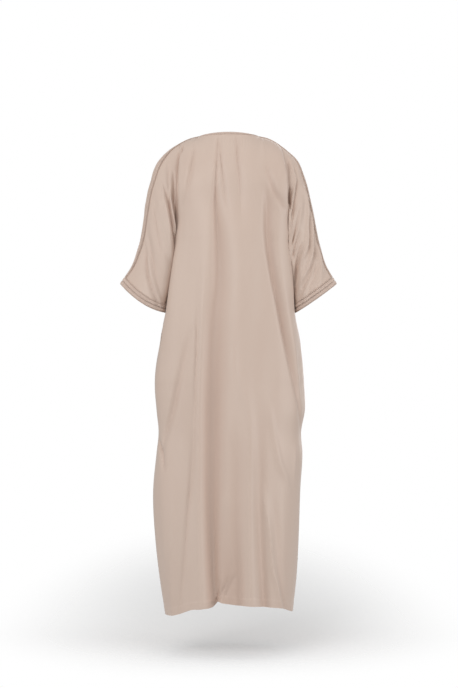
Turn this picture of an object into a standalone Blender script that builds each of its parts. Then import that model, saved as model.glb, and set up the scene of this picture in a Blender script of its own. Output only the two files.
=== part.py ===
"""A loose ankle-length robe with short kimono sleeves, worn and hollow, hanging from the shoulders.

The robe is cut as one back panel and one front panel, each with its half of both sleeves. They meet along
the shoulder and overarm line, under a braid, and along the underarm and side seams, which stay open at a hand
slit on each side. A braid binds the round neck and the short front slit, and a wide braid goes round each cuff.

Metres, +Z up, the front faces -Y and the wearer's left is +X. The origin is where the shoulders carry the
robe: the middle of the neck opening, level with the shoulder line. `drop` is the distance below the origin.
"""

import math

import bmesh
import bpy
import numpy as np

# ------------------------------------------------------------------ driving sizes
CLOTH = 0.0015  # wall of the cloth
SEAM_GAP = 0.0003  # space left between pieces
BRAID = 0.0014  # thickness of the braid laid on the cloth
NECK_BRAID = 0.0022  # thickness of the doubled braid that binds the neck
BRAID_WIDTH = 0.0095  # the neck braid, and each half of the shoulder braid
CUFF_BAND = 0.026  # width of the braid round the cuff

NECK_HALF_WIDTH = 0.0905  # to the outer edge of the neck braid
BACK_NECK = (0.066, 0.003)  # depth behind the origin and rise, at the outer edge of the neck braid
FRONT_NECK = (0.088, -0.082)  # depth ahead of the origin and fall
BRAID_RISE = 0.006  # how much the inner edge of the neck braid stands above its outer edge
SLIT_HALF_OPENING = 0.011  # half the gap of the front slit at the neck
SLIT_SPREAD = 0.075  # how far from the middle the cloth is pushed aside by the slit

ARMPIT_DROP = 0.315
BLADE_DROP = 0.168
HEM_DROP = 1.424
ROUNDNESS = 0.78  # exponent of a section's depth: 1 is an ellipse, less is boxier

LEFT, RIGHT = 1, -1
BACK, FRONT = 1, -1
VALLEY_X = {LEFT: 0.150, RIGHT: 0.156}  # where the sleeve parts from the body
CUFF_INNER_X = {LEFT: 0.190, RIGHT: 0.199}  # the underarm end of the cuff
CUFF_INNER_DROP = 0.527
SEAM_TURN = {LEFT: 0.58, RIGHT: 0.26}  # how far the overarm seam turns to the back, in radians
SEAM_LEAN = {LEFT: 0.32, RIGHT: 0.12}  # how much flatter the back of the sleeve lies beside that seam
CUFF_SAG = {LEFT: 0.016, RIGHT: 0.003}  # how much the back of the cuff hangs below a straight edge

SLIT_DROPS = (0.470, 0.620)  # the hand slit in each side seam
HAND_SLIT_GAP = 0.014

# The shoulder and overarm line, from the neck to the corner of the cuff.
OVERARM = (
    # place           left    right   drop
    ("neck", 0.0905, 0.0905, 0.000),
    ("slope", 0.1150, 0.1160, 0.006),
    ("shoulder", 0.1470, 0.1440, 0.021),
    ("shoulder cap", 0.1810, 0.1730, 0.043),
    ("shoulder end", 0.2130, 0.2040, 0.073),
    ("upper arm", 0.2340, 0.2255, 0.122),
    ("arm", 0.2510, 0.2465, 0.205),
    ("elbow", 0.2715, 0.2720, 0.330),
    ("flare", 0.2890, 0.2885, 0.385),
    ("corner", 0.3250, 0.3215, 0.441),
)

# Half widths to the left and right, depths behind and ahead, and the half width lost at the side seam,
# where the arm and its sleeve press in.
BODY = (
    # level     drop   left   right  back   front  press
    ("blades", 0.168, 0.162, 0.167, 0.117, 0.115, 0.012),
    ("armpit", 0.315, 0.166, 0.174, 0.136, 0.141, 0.016),
    ("elbow", 0.430, 0.178, 0.189, 0.143, 0.151, 0.018),
    ("cuff", 0.528, 0.190, 0.197, 0.148, 0.157, 0.014),
    ("slit", 0.620, 0.207, 0.213, 0.152, 0.162, 0.003),
    ("hip", 0.740, 0.223, 0.224, 0.157, 0.167, 0.000),
    ("thigh", 0.820, 0.217, 0.227, 0.160, 0.170, 0.000),
    ("dip", 0.885, 0.211, 0.216, 0.163, 0.172, 0.000),
    ("flank", 0.945, 0.217, 0.220, 0.165, 0.173, 0.000),
    ("knee", 1.050, 0.227, 0.214, 0.168, 0.176, 0.000),
    ("shin", 1.200, 0.221, 0.208, 0.174, 0.181, 0.000),
    ("calf", 1.330, 0.206, 0.201, 0.179, 0.185, 0.000),
    ("hem", 1.424, 0.191, 0.191, 0.183, 0.188, 0.000),
)

# How far behind the middle of the side each side seam runs.
SEAM_SHIFT = (
    # drop   left   right
    (0.315, 0.000, 0.000),
    (0.470, 0.004, 0.002),
    (0.600, 0.058, 0.034),
    (0.760, 0.030, 0.018),
    (1.000, 0.006, 0.004),
    (1.424, 0.000, 0.000),
)

# Depths of a sleeve section behind and ahead of its chord, and how far it leans to its underarm end.
SLEEVE = (
    # along   back   front  lean
    (0.00, 0.070, 0.066, 0.00),
    (0.25, 0.073, 0.070, 0.04),
    (0.50, 0.066, 0.070, 0.12),
    (0.75, 0.062, 0.070, 0.22),
    (1.00, 0.066, 0.072, 0.26),
)

# Folds of the body, each a soft valley (negative height) or ridge along a path.
FOLDS = {
    "long valley": (
        BACK,
        # drop   x      half width  height
        (-0.01, 0.033, 0.005, -0.001),
        (0.06, 0.037, 0.006, -0.004),
        (0.20, 0.038, 0.009, -0.006),
        (0.45, 0.034, 0.014, -0.008),
        (0.70, 0.048, 0.021, -0.013),
        (1.00, 0.051, 0.020, -0.017),
        (1.45, 0.048, 0.015, -0.024),
    ),
    "long valley brow": (
        BACK,
        (0.40, 0.078, 0.016, 0.000),
        (0.60, 0.083, 0.016, 0.005),
        (0.90, 0.083, 0.018, 0.007),
        (1.45, 0.080, 0.022, 0.008),
    ),
    "inner pleat": (
        BACK,
        (0.00, 0.031, 0.004, -0.001),
        (0.06, 0.026, 0.006, -0.004),
        (0.14, 0.017, 0.009, -0.004),
        (0.26, 0.010, 0.012, 0.000),
    ),
    "right pleat": (
        BACK,
        (-0.01, -0.020, 0.005, -0.001),
        (0.06, -0.023, 0.006, -0.005),
        (0.14, -0.030, 0.008, -0.005),
        (0.28, -0.038, 0.014, 0.000),
    ),
    "left blade crease": (
        BACK,
        (0.02, 0.099, 0.006, 0.000),
        (0.08, 0.108, 0.008, -0.003),
        (0.16, 0.121, 0.010, -0.003),
        (0.27, 0.130, 0.012, 0.000),
    ),
    "right blade crease": (
        BACK,
        (0.06, -0.110, 0.008, 0.000),
        (0.12, -0.120, 0.008, -0.004),
        (0.18, -0.134, 0.009, -0.005),
        (0.28, -0.156, 0.010, 0.000),
    ),
    "right fall": (
        BACK,
        (0.15, -0.096, 0.014, 0.000),
        (0.26, -0.104, 0.017, -0.006),
        (0.40, -0.119, 0.016, -0.008),
        (0.60, -0.150, 0.013, -0.009),
        (0.76, -0.184, 0.012, -0.009),
        (0.90, -0.208, 0.012, 0.000),
    ),
    "right fall brow": (
        BACK,
        (0.35, -0.092, 0.016, 0.000),
        (0.52, -0.116, 0.015, 0.005),
        (0.72, -0.152, 0.014, 0.007),
        (0.92, -0.188, 0.016, 0.000),
    ),
    "middle valley": (
        BACK,
        (0.60, -0.024, 0.018, 0.000),
        (0.90, -0.026, 0.018, -0.007),
        (1.15, -0.031, 0.018, -0.011),
        (1.45, -0.036, 0.016, -0.015),
    ),
    "right brow": (
        BACK,
        (0.80, -0.066, 0.020, 0.000),
        (1.05, -0.064, 0.020, 0.006),
        (1.45, -0.068, 0.020, 0.010),
    ),
    "right valley": (
        BACK,
        (0.75, -0.112, 0.018, 0.000),
        (1.00, -0.110, 0.020, -0.007),
        (1.25, -0.112, 0.018, -0.010),
        (1.45, -0.116, 0.016, -0.014),
    ),
    "right shin ridge": (
        BACK,
        (0.95, -0.130, 0.014, 0.000),
        (1.15, -0.140, 0.015, 0.006),
        (1.45, -0.155, 0.016, 0.010),
    ),
    "left hip crease": (
        BACK,
        (0.58, 0.110, 0.012, 0.000),
        (0.70, 0.132, 0.013, -0.005),
        (0.83, 0.164, 0.014, -0.006),
        (0.96, 0.194, 0.014, 0.000),
    ),
    "left shin crease": (
        BACK,
        (0.92, 0.108, 0.010, 0.000),
        (1.08, 0.115, 0.011, -0.006),
        (1.25, 0.124, 0.012, -0.009),
        (1.45, 0.136, 0.012, -0.012),
    ),
    "chest left": (
        FRONT,
        (0.16, 0.062, 0.014, 0.000),
        (0.36, 0.066, 0.018, -0.006),
        (0.70, 0.060, 0.020, -0.009),
        (1.05, 0.066, 0.020, -0.014),
        (1.45, 0.072, 0.018, -0.020),
    ),
    "chest right": (
        FRONT,
        (0.20, -0.054, 0.014, 0.000),
        (0.42, -0.058, 0.018, -0.007),
        (0.80, -0.070, 0.020, -0.010),
        (1.10, -0.072, 0.020, -0.014),
        (1.45, -0.066, 0.018, -0.018),
    ),
    "front middle ridge": (
        FRONT,
        (0.30, 0.004, 0.020, 0.000),
        (0.70, -0.006, 0.024, 0.006),
        (1.45, -0.002, 0.026, 0.012),
    ),
    "front left fall": (
        FRONT,
        (0.22, 0.112, 0.012, 0.000),
        (0.45, 0.122, 0.015, -0.007),
        (0.80, 0.142, 0.016, -0.009),
        (1.15, 0.132, 0.016, -0.012),
        (1.45, 0.128, 0.015, -0.016),
    ),
    "front right fall": (
        FRONT,
        (0.24, -0.108, 0.012, 0.000),
        (0.50, -0.124, 0.015, -0.007),
        (0.90, -0.150, 0.016, -0.010),
        (1.20, -0.132, 0.016, -0.011),
        (1.45, -0.126, 0.015, -0.015),
    ),
}

# Folds of the sleeves: valleys and ridges from one place to another, given along the sleeve (0 at the
# body, 1 at the cuff) and around it (0 at the overarm seam, 1 at the underarm seam).
SLEEVE_FOLDS = (
    # side  face    from         to          half width  height
    (LEFT, BACK, (0.05, 0.42), (0.62, 0.72), 0.045, -0.009),
    (LEFT, BACK, (0.02, 0.62), (0.50, 0.88), 0.045, -0.008),
    (LEFT, BACK, (0.42, 0.22), (1.00, 0.50), 0.040, -0.007),
    (LEFT, BACK, (0.45, 0.36), (1.00, 0.68), 0.045, 0.005),
    (LEFT, FRONT, (0.05, 0.40), (0.65, 0.75), 0.050, -0.009),
    (LEFT, FRONT, (0.35, 0.25), (1.00, 0.55), 0.045, -0.007),
    (RIGHT, BACK, (0.08, 0.36), (0.55, 0.80), 0.045, -0.009),
    (RIGHT, BACK, (0.25, 0.20), (0.95, 0.62), 0.040, -0.008),
    (RIGHT, BACK, (0.25, 0.32), (0.90, 0.80), 0.035, 0.005),
    (RIGHT, BACK, (0.40, 0.10), (1.00, 0.36), 0.040, -0.005),
    (RIGHT, FRONT, (0.05, 0.42), (0.62, 0.78), 0.050, -0.009),
    (RIGHT, FRONT, (0.40, 0.22), (1.00, 0.52), 0.045, -0.007),
)

# How far the hem stands above its lowest point, across the back and across the front.
HEM_RISE = {
    BACK: (
        # x     rise
        (-0.189, 0.008),
        (-0.165, 0.023),
        (-0.120, 0.033),
        (-0.018, 0.043),
        (0.020, 0.048),
        (0.040, 0.051),
        (0.054, 0.036),
        (0.075, 0.031),
        (0.112, 0.026),
        (0.135, 0.016),
        (0.165, 0.004),
        (0.190, 0.000),
    ),
    FRONT: (
        (-0.189, 0.008),
        (-0.150, 0.018),
        (-0.060, 0.031),
        (0.000, 0.035),
        (0.060, 0.030),
        (0.150, 0.012),
        (0.190, 0.000),
    ),
}

# ------------------------------------------------------------------ mesh counts
COLUMNS = 16  # from the middle to a side
NECK_COLUMNS = 9  # of these, the ones that start at the neck
ROWS = 11  # from the shoulder line to the armpit
SLIT_ROW = 6  # the row where the front slit ends
SLEEVE_COLUMNS = 9
LEVELS = (0.355, 0.410, 0.470, 0.508, 0.545, 0.582, 0.620, 0.665, 0.710, 0.755, 0.805, 0.855)
LEVELS += (0.910, 0.965, 0.1020 * 10, 1.075, 1.130, 1.185, 1.240, 1.295, 1.350, 1.390, HEM_DROP)
NARROWEST_FOLD = 0.011  # a fold narrower than this is widened to what the columns can carry
FINE = 60  # points on a curve before it is spaced out evenly
JOIN = 0.00001  # points this close become one

# ------------------------------------------------------------------ finishes
CLOTH_COLOUR = (0.605, 0.485, 0.405, 1.0)
BRAID_COLOUR = (0.540, 0.405, 0.330, 1.0)


# ------------------------------------------------------------------ curves
def smooth_through(knots, values, at):
    """Values of a smooth curve through (knots, values); it is level beyond the ends."""
    knots = np.asarray(knots, float)
    values = np.asarray(values, float)
    slopes = np.gradient(values, knots)
    at = np.clip(np.asarray(at, float), knots[0], knots[-1])
    i = np.clip(np.searchsorted(knots, at) - 1, 0, len(knots) - 2)
    h = knots[i + 1] - knots[i]
    f = (at - knots[i]) / h
    start = (1 + 2 * f) * (1 - f) ** 2 * values[i] + f * (1 - f) ** 2 * h * slopes[i]
    end = f * f * (3 - 2 * f) * values[i + 1] - f * f * (1 - f) * h * slopes[i + 1]
    return start + end


def soft_step(value, low, high):
    """0 below low, 1 above high, and smooth between."""
    f = np.clip((np.asarray(value, float) - low) / (high - low), 0.0, 1.0)
    return f * f * (3 - 2 * f)


def lengths_along(points):
    """Distance along a polyline at each of its points."""
    steps = np.linalg.norm(np.diff(points, axis=0), axis=1)
    return np.concatenate([[0.0], np.cumsum(steps)])


def spaced(points, stations):
    """Points of a polyline at the given distances along it."""
    along = lengths_along(points)
    return np.stack([np.interp(stations, along, points[:, k]) for k in range(3)], axis=1)


def evenly(points, count):
    """A polyline's points, spaced evenly into count steps."""
    return spaced(points, np.linspace(0.0, lengths_along(points)[-1], count + 1))


def hermite(start, end, start_slope, end_slope, count=FINE):
    """A cubic curve between two points with the given slopes."""
    f = np.linspace(0.0, 1.0, count)[:, None]
    from_start = (1 + 2 * f) * (1 - f) ** 2 * start + f * (1 - f) ** 2 * start_slope
    to_end = f * f * (3 - 2 * f) * end - f * f * (1 - f) * end_slope
    return from_start + to_end


# ------------------------------------------------------------------ the body's sections
def body_size(side, face, drop):
    """(half width, depth, press) of the body on one side and face at a drop below the shoulder."""
    drops = [row[1] for row in BODY]
    width = smooth_through(drops, [row[2 if side == LEFT else 3] for row in BODY], drop)
    depth = smooth_through(drops, [row[4 if face == BACK else 5] for row in BODY], drop)
    press = smooth_through(drops, [row[6] for row in BODY], drop)
    return float(width), float(depth), float(press)


def section(side, face, drop, end_x, end_depth):
    """A quarter of the body's section, from its middle to (end_x, end_depth), as (x, y, z) points."""
    width, depth, _ = body_size(side, face, drop)
    end_turn = math.pi - math.asin(min(1.0, end_x / width))
    turn = np.linspace(0.0, end_turn, FINE)
    share = (np.cos(turn) - math.cos(end_turn)) / (1 - math.cos(end_turn))
    x = width * np.sin(turn)
    y = end_depth + (depth - end_depth) * np.clip(share, 0.0, 1.0) ** ROUNDNESS
    return np.stack([side * x, face * y, np.full_like(x, -drop)], axis=1)


def side_line(side, drop):
    """Half width of the body at the middle of its side."""
    width, _, press = body_size(side, BACK, drop)
    return width - press


def half_ring(side, drop):
    """Half of the body's section, from the middle of the back round one side to the middle of the front."""
    end_x = side_line(side, drop)
    back = section(side, BACK, drop, end_x, 0.0)
    front = section(side, FRONT, drop, end_x, 0.0)
    return np.concatenate([back, front[::-1][1:]])


def hem_lift(x, face):
    """How far the hem stands above its lowest point at x."""
    across, rise = np.array(HEM_RISE[face]).T
    return smooth_through(across, rise, x)


def lower_row(side, face, drop):
    """One row of a panel below the armpit, from its middle to the side seam."""
    ring = half_ring(side, drop)
    shift_column = 1 if side == LEFT else 2
    shift = smooth_through([row[0] for row in SEAM_SHIFT], [row[shift_column] for row in SEAM_SHIFT], drop)
    along = lengths_along(ring)
    crossing = np.interp(-shift, -ring[:, 1], along)
    slit = (drop - SLIT_DROPS[0]) / (SLIT_DROPS[1] - SLIT_DROPS[0])
    gap = HAND_SLIT_GAP * math.sin(math.pi * slit) if 0.0 < slit < 1.0 else 0.0
    if face == BACK:
        row = spaced(ring, np.linspace(0.0, crossing - gap / 2, COLUMNS + 1))
    else:
        row = spaced(ring, np.linspace(along[-1], crossing + gap / 2, COLUMNS + 1))
    near_hem = ((drop - ARMPIT_DROP) / (HEM_DROP - ARMPIT_DROP)) ** 3
    row[:, 2] += near_hem * hem_lift(row[:, 0], face)
    return row


# ------------------------------------------------------------------ neck, shoulder and sleeve lines
def overarm_line(side):
    """Dense points of the shoulder and overarm seam, from the neck braid to the corner of the cuff."""
    x = np.array([row[1 if side == LEFT else 2] for row in OVERARM])
    drop = np.array([row[3] for row in OVERARM])
    knots = np.concatenate([[0.0], np.cumsum(np.hypot(np.diff(x), np.diff(drop)))])
    at = np.linspace(0.0, knots[-1], 6 * FINE)
    along_x = smooth_through(knots, x, at)
    along_drop = smooth_through(knots, drop, at)
    return np.stack([side * along_x, np.zeros_like(at), -along_drop], axis=1)


def split_overarm(side):
    """The overarm line cut where the sleeve begins: (shoulder part, sleeve part)."""
    line = overarm_line(side)
    cut = int(np.argmin(np.abs(np.abs(line[:, 0]) - VALLEY_X[side])))
    return line[: cut + 1], line[cut:]


def neck_edge(side, face, inset):
    """A quarter of the neck line, from its middle to the shoulder. inset is 0 at the outer edge of the
    neck braid and 1 at its inner edge."""
    depth, rise = BACK_NECK if face == BACK else FRONT_NECK
    shrink = inset * BRAID_WIDTH
    turn = np.linspace(0.0, math.pi / 2, FINE)
    x = (NECK_HALF_WIDTH - shrink) * np.sin(turn)
    y = (depth - shrink * 0.75) * np.cos(turn)
    bend = 1.5 if face == BACK else 1.25
    z = rise * np.cos(turn) ** bend + inset * BRAID_RISE * (0.35 + 0.65 * np.cos(turn) ** 2)
    points = evenly(np.stack([side * x, face * y, z], axis=1), NECK_COLUMNS)
    return points


def slit_half_width(drop):
    """Half the opening of the front slit; it narrows to nothing at its lower end."""
    top = -FRONT_NECK[1]
    return SLIT_HALF_OPENING * (1 - soft_step(drop, top - 0.02, SLIT_BOTTOM_DROP))


SLIT_BOTTOM_DROP = 0.232


# ------------------------------------------------------------------ patches of the garment
def upper_columns(side, face):
    """Dense curves from the neck and shoulder line down to the armpit level, one for each column."""
    shoulder, _ = split_overarm(side)
    top = np.concatenate([neck_edge(side, face, 0.0), evenly(shoulder, COLUMNS - NECK_COLUMNS)[1:]])
    valley_depth = SLEEVE[0][1 if face == BACK else 2]
    middle = evenly(section(side, face, BLADE_DROP, VALLEY_X[side], valley_depth), COLUMNS)
    low = lower_row(side, face, ARMPIT_DROP)
    curves = []
    for j in range(COLUMNS):
        across = j / COLUMNS
        at_neck = max(0.0, 1 - j / NECK_COLUMNS)
        reach = 1.66 * (middle[j] - top[j])
        lean = 0.15 + 0.40 * at_neck if face == BACK else 0.10 + 0.62 * at_neck
        leave = reach * np.array([0.9, 1.0, lean if at_neck > 0 else 0.04])
        outward = np.array([side * 0.05 * math.exp(-(((j - NECK_COLUMNS) / 2.0) ** 2)), 0.0, 0.0])
        fall = low[j] - middle[j]
        pass_by = np.array([0.0, 0.25 * fall[1] * (1 - across), fall[2]])
        steep = np.array([0.0, 0.3 * fall[1], fall[2] * (1.0 - 0.2 * across)])
        first = hermite(top[j], middle[j], leave + outward, pass_by * (0.9 * reach[2] / fall[2]))
        second = hermite(middle[j], low[j], pass_by, steep)
        curves.append(np.concatenate([first, second[1:]]))
    curves.append(valley_curve(side, face))
    return curves


def valley_curve(side, face):
    """The line where the sleeve parts from the body, from the shoulder line down to the armpit."""
    _, sleeve = split_overarm(side)
    return sleeve_ring(side, face, sleeve[0], underarm_point(side, 0.0), 0.0)


def underarm_point(side, along):
    """A point of the underarm seam, from the armpit (0) to the cuff (1)."""
    x = VALLEY_X[side] + (CUFF_INNER_X[side] - VALLEY_X[side]) * along**0.9
    drop = ARMPIT_DROP + (CUFF_INNER_DROP - ARMPIT_DROP) * along
    return np.array([side * x, -0.006 * along, -drop])


def sleeve_ring(side, face, over, under, along):
    """Half a section of the sleeve, from the overarm seam to the underarm seam on one face."""
    stations = [row[0] for row in SLEEVE]
    depth = {f: float(smooth_through(stations, [row[c] for row in SLEEVE], along)) for f, c in ((BACK, 1), (FRONT, 2))}
    lean = float(smooth_through(stations, [row[3] for row in SLEEVE], along))
    turned = SEAM_TURN[side] * soft_step(along, 0.0, 0.25) * (1 - 0.85 * soft_step(along, 0.55, 1.0))
    turn = np.linspace(turned, face * math.pi, FINE)
    flat = lean + SEAM_LEAN[side] * soft_step(along, 0.0, 0.3) * (1 - soft_step(along, 0.6, 1.0))
    lean = np.where(turn > 0, flat, lean)
    half = (over - under) / 2
    middle = (over + under) / 2
    bulge = np.where(turn > 0, depth[BACK], -depth[FRONT]) * np.abs(np.sin(turn)) * (1 - lean * np.cos(turn))
    ring = middle + half * np.cos(turn)[:, None]
    ring[:, 1] += bulge
    sag = np.where(turn > 0, CUFF_SAG[side], 0.5 * CUFF_SAG[side]) * soft_step(along, 0.5, 1.0)
    ring[:, 2] -= sag * np.sin(turn) ** 2
    return ring


def row_stations(length, first):
    """Distances of the rows along a column: the first row lies at the braid's edge."""
    return np.concatenate([[0.0], np.linspace(first, length, ROWS)])


def upper_patch(side, face):
    """Grid of rows and columns from the shoulder line to the armpit level, over the body."""
    grid = np.zeros((ROWS + 1, COLUMNS + 1, 3))
    for j, curve in enumerate(upper_columns(side, face)):
        grid[:, j] = spaced(curve, row_stations(lengths_along(curve)[-1], BRAID_WIDTH))
    if face == FRONT:
        grid = open_front_slit(grid, side)
    return grid


def open_front_slit(grid, side):
    """Pushes the cloth aside for the slit and its braid, down to the row where they end."""
    for i in range(SLIT_ROW):
        drop = -grid[i, 0, 2]
        edge = slit_half_width(drop) + BRAID_WIDTH
        if i == SLIT_ROW - 1:
            edge = BRAID_WIDTH
        x = np.abs(grid[i, :, 0])
        grid[i, :, 0] = side * (x + edge * np.clip(1 - x / SLIT_SPREAD, 0.0, 1.0))
    return grid


def lower_patch(side, face):
    """Grid of rows from the armpit level to the hem."""
    return np.stack([lower_row(side, face, drop) for drop in (ARMPIT_DROP, *LEVELS)])


def sleeve_patch(side, face):
    """Grid of a sleeve half: rows around it as on the body, columns along it to the cuff."""
    _, over = split_overarm(side)
    stations = np.linspace(0.0, 1.0, 4 * SLEEVE_COLUMNS + 1)
    length = lengths_along(over)[-1]
    rings = []
    for along in stations:
        start = spaced(over, np.array([along * length]))[0]
        ring = sleeve_ring(side, face, start, underarm_point(side, along), along)
        rings.append(spaced(ring, row_stations(lengths_along(ring)[-1], BRAID_WIDTH)))
    rings = np.stack(rings)
    grid = np.zeros((ROWS + 1, SLEEVE_COLUMNS + 1, 3))
    for i in range(ROWS + 1):
        line = rings[:, i]
        total = lengths_along(line)[-1]
        stops = np.append(np.linspace(0.0, total - CUFF_BAND, SLEEVE_COLUMNS), total)
        grid[i] = spaced(line, stops)
    return grid


def neck_patch(side, face, upper):
    """Grid of the neck braid: its outer edge is the panel's neck edge."""
    inner = neck_edge(side, face, 1.0)
    outer = upper[0, : NECK_COLUMNS + 1].copy()
    if face == FRONT:
        edge = slit_half_width(-inner[0, 2])
        x = np.abs(inner[:, 0])
        inner[:, 0] = side * (x + edge * np.clip(1 - x / SLIT_SPREAD, 0.0, 1.0))
    return np.stack([inner, outer])


def slit_patch(side, upper, neck):
    """Grid of the braid down one edge of the front slit: columns are the slit's edge and the cloth's."""
    outer = upper[: SLIT_ROW + 1, 0].copy()
    inner = outer.copy()
    for i in range(SLIT_ROW):
        half = slit_half_width(-outer[i, 2]) if i < SLIT_ROW - 1 else 0.0
        inner[i, 0] = side * half
    inner[0] = neck[0, 0]
    return np.stack([inner, outer], axis=1)


# ------------------------------------------------------------------ folds
def body_folds(points, face):
    """Height of the body's folds at each point of one face."""
    x, y, drop = points[..., 0], points[..., 1], -points[..., 2]
    height = np.zeros(x.shape)
    for name, (fold_face, *stations) in FOLDS.items():
        if fold_face != face:
            continue
        drops, path, half_width, depth = np.array(stations).T
        wide = np.maximum(smooth_through(drops, half_width, drop), NARROWEST_FOLD)
        away = (x - smooth_through(drops, path, drop)) / wide
        height += smooth_through(drops, depth, drop) * np.exp(-(away**2))
    return height * soft_step(face * y, 0.0, 0.05)


def sleeve_folds(side, face):
    """Height of a sleeve's folds over its grid."""
    along = np.linspace(0.0, 1.0, SLEEVE_COLUMNS + 1)[None, :]
    around = np.linspace(0.0, 1.0, ROWS + 1)[:, None]
    height = np.zeros((ROWS + 1, SLEEVE_COLUMNS + 1))
    for fold_side, fold_face, start, end, half_width, depth in SLEEVE_FOLDS:
        if (fold_side, fold_face) != (side, face):
            continue
        run = np.array(end) - np.array(start)
        share = np.clip(((along - start[0]) * run[0] + (around - start[1]) * run[1]) / (run @ run), 0.0, 1.0)
        off = np.hypot(along - start[0] - share * run[0], around - start[1] - share * run[1])
        fade = np.sin(np.clip(share, 0.0, 1.0) * math.pi * 0.5 + 0.25) if end[0] > 0.9 else np.sin(math.pi * share)
        height += depth * fade * np.exp(-((off / (1.6 * half_width)) ** 2))
    return height * soft_step(around, 0.03, 0.16) * (1 - soft_step(around, 0.90, 1.0))


# ------------------------------------------------------------------ joining the patches
class Garment:
    """All patches joined into one surface: its points, its normals and the corners of each patch."""

    def __init__(self):
        grids = {}
        heights = {}
        for side in (LEFT, RIGHT):
            for face in (BACK, FRONT):
                upper = upper_patch(side, face)
                lower = lower_patch(side, face)
                lower[0] = upper[-1]
                sleeve = sleeve_patch(side, face)
                sleeve[:, 0] = upper[:, -1]
                neck = neck_patch(side, face, upper)
                grids[("upper", side, face)] = upper
                grids[("lower", side, face)] = lower
                grids[("sleeve", side, face)] = sleeve
                grids[("neck", side, face)] = neck
                for part in ("upper", "lower"):
                    heights[(part, side, face)] = body_folds(grids[(part, side, face)], face)
                heights[("sleeve", side, face)] = sleeve_folds(side, face)
                if face == FRONT:
                    grids[("slit", side, face)] = slit_patch(side, upper, neck)
        self.join(grids)
        self.normals = self.surface_normals()
        self.raise_folds(heights)
        self.normals = self.surface_normals()

    def join(self, grids):
        """Gives points that lie on each other one number."""
        every = np.concatenate([grid.reshape(-1, 3) for grid in grids.values()])
        keys = np.floor(every / JOIN + 0.37).astype(int)
        _, first, number = np.unique(keys, axis=0, return_index=True, return_inverse=True)
        self.points = every[first]
        self.numbers = {}
        start = 0
        for key, grid in grids.items():
            count = grid.shape[0] * grid.shape[1]
            self.numbers[key] = number.ravel()[start : start + count].reshape(grid.shape[:2])
            start += count

    def cells(self, part, side, face, rows=None, columns=None):
        """The four corners of each cell of a patch, or of some of its rows and columns, facing out."""
        grid = self.numbers[(part, side, face)]
        rows = rows or (0, grid.shape[0] - 1)
        columns = columns or (0, grid.shape[1] - 1)
        found = []
        for i in range(*rows):
            for j in range(*columns):
                cell = (grid[i, j], grid[i + 1, j], grid[i + 1, j + 1], grid[i, j + 1])
                found.append(cell if side * face < 0 else cell[::-1])
        return found

    def surface_normals(self):
        """Outward normals at the points, from all the cells around each."""
        normals = np.zeros_like(self.points)
        for part, side, face in self.numbers:
            corners = np.array(self.cells(part, side, face))
            p = self.points[corners]
            across = np.cross(p[:, 2] - p[:, 0], p[:, 3] - p[:, 1])
            for k in range(4):
                np.add.at(normals, corners[:, k], across)
        return normals / np.maximum(np.linalg.norm(normals, axis=1), 1e-12)[:, None]

    def raise_folds(self, heights):
        """Moves the points along their normals by the height of the folds."""
        total = np.zeros(len(self.points))
        count = np.zeros(len(self.points))
        for key, height in heights.items():
            np.add.at(total, self.numbers[key].ravel(), height.ravel())
            np.add.at(count, self.numbers[key].ravel(), 1)
        self.points += self.normals * (total / np.maximum(count, 1))[:, None]


# ------------------------------------------------------------------ solids
def triangles(cells):
    """Each cell as one or two triangles; a cell may have corners that coincide."""
    found = []
    for a, b, c, d in cells:
        for corners in ((a, b, c), (a, c, d)):
            if len(set(corners)) == 3:
                found.append(corners)
    return found


def open_edges(faces):
    """Edges that only one triangle has, in its direction, each with that triangle's third corner."""
    edges = {(f[k], f[(k + 1) % 3]): f[(k + 2) % 3] for f in faces for k in range(3)}
    return [(*edge, tip) for edge, tip in edges.items() if edge[::-1] not in edges]


def wall(name, garment, cells, low, high, material, collection, neighbours=()):
    """A closed wall over the cells, from low to high along the normals. Its edge draws back by half a
    seam gap where it meets the cells of its neighbours."""
    faces = triangles(cells)
    used = sorted({int(v) for face in faces for v in face})
    place = garment.points[used].copy()
    number = {v: k for k, v in enumerate(used)}
    normals = garment.normals[used]
    shared = {number[int(v)] for cell in neighbours for v in cell if int(v) in number}
    faces = [tuple(number[int(v)] for v in face) for face in faces]
    rim = open_edges(faces)
    inward = np.zeros_like(place)
    for start, end, tip in rim:
        edge = place[end] - place[start]
        way = place[tip] - place[start]
        way -= edge * (way @ edge) / (edge @ edge)
        for v in shared & {start, end}:
            inward[v] += way / np.linalg.norm(way) * np.linalg.norm(edge)
    size = np.linalg.norm(inward, axis=1)
    drawn = size > 0
    place[drawn] += inward[drawn] / size[drawn, None] * SEAM_GAP * 0.55
    mesh = bmesh.new()
    top = [mesh.verts.new(p) for p in place + normals * high]
    under = [mesh.verts.new(p) for p in place + normals * low]
    for a, b, c in faces:
        mesh.faces.new((top[a], top[b], top[c]))
        mesh.faces.new((under[c], under[b], under[a]))
    for start, end, _ in rim:
        mesh.faces.new((top[start], under[start], under[end]))
        mesh.faces.new((top[start], under[end], top[end]))
    data = bpy.data.meshes.new(name)
    mesh.to_mesh(data)
    mesh.free()
    data.shade_smooth()
    data.set_sharp_from_angle(angle=math.radians(50))
    data.materials.append(material)
    made = bpy.data.objects.new(name, data)
    collection.objects.link(made)
    return made


def finish(name, colour, roughness):
    """A plain fabric finish."""
    material = bpy.data.materials.new(name)
    material.use_nodes = True
    shader = material.node_tree.nodes["Principled BSDF"]
    shader.inputs["Base Color"].default_value = colour
    shader.inputs["Roughness"].default_value = roughness
    shader.inputs["Metallic"].default_value = 0.0
    return material


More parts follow.
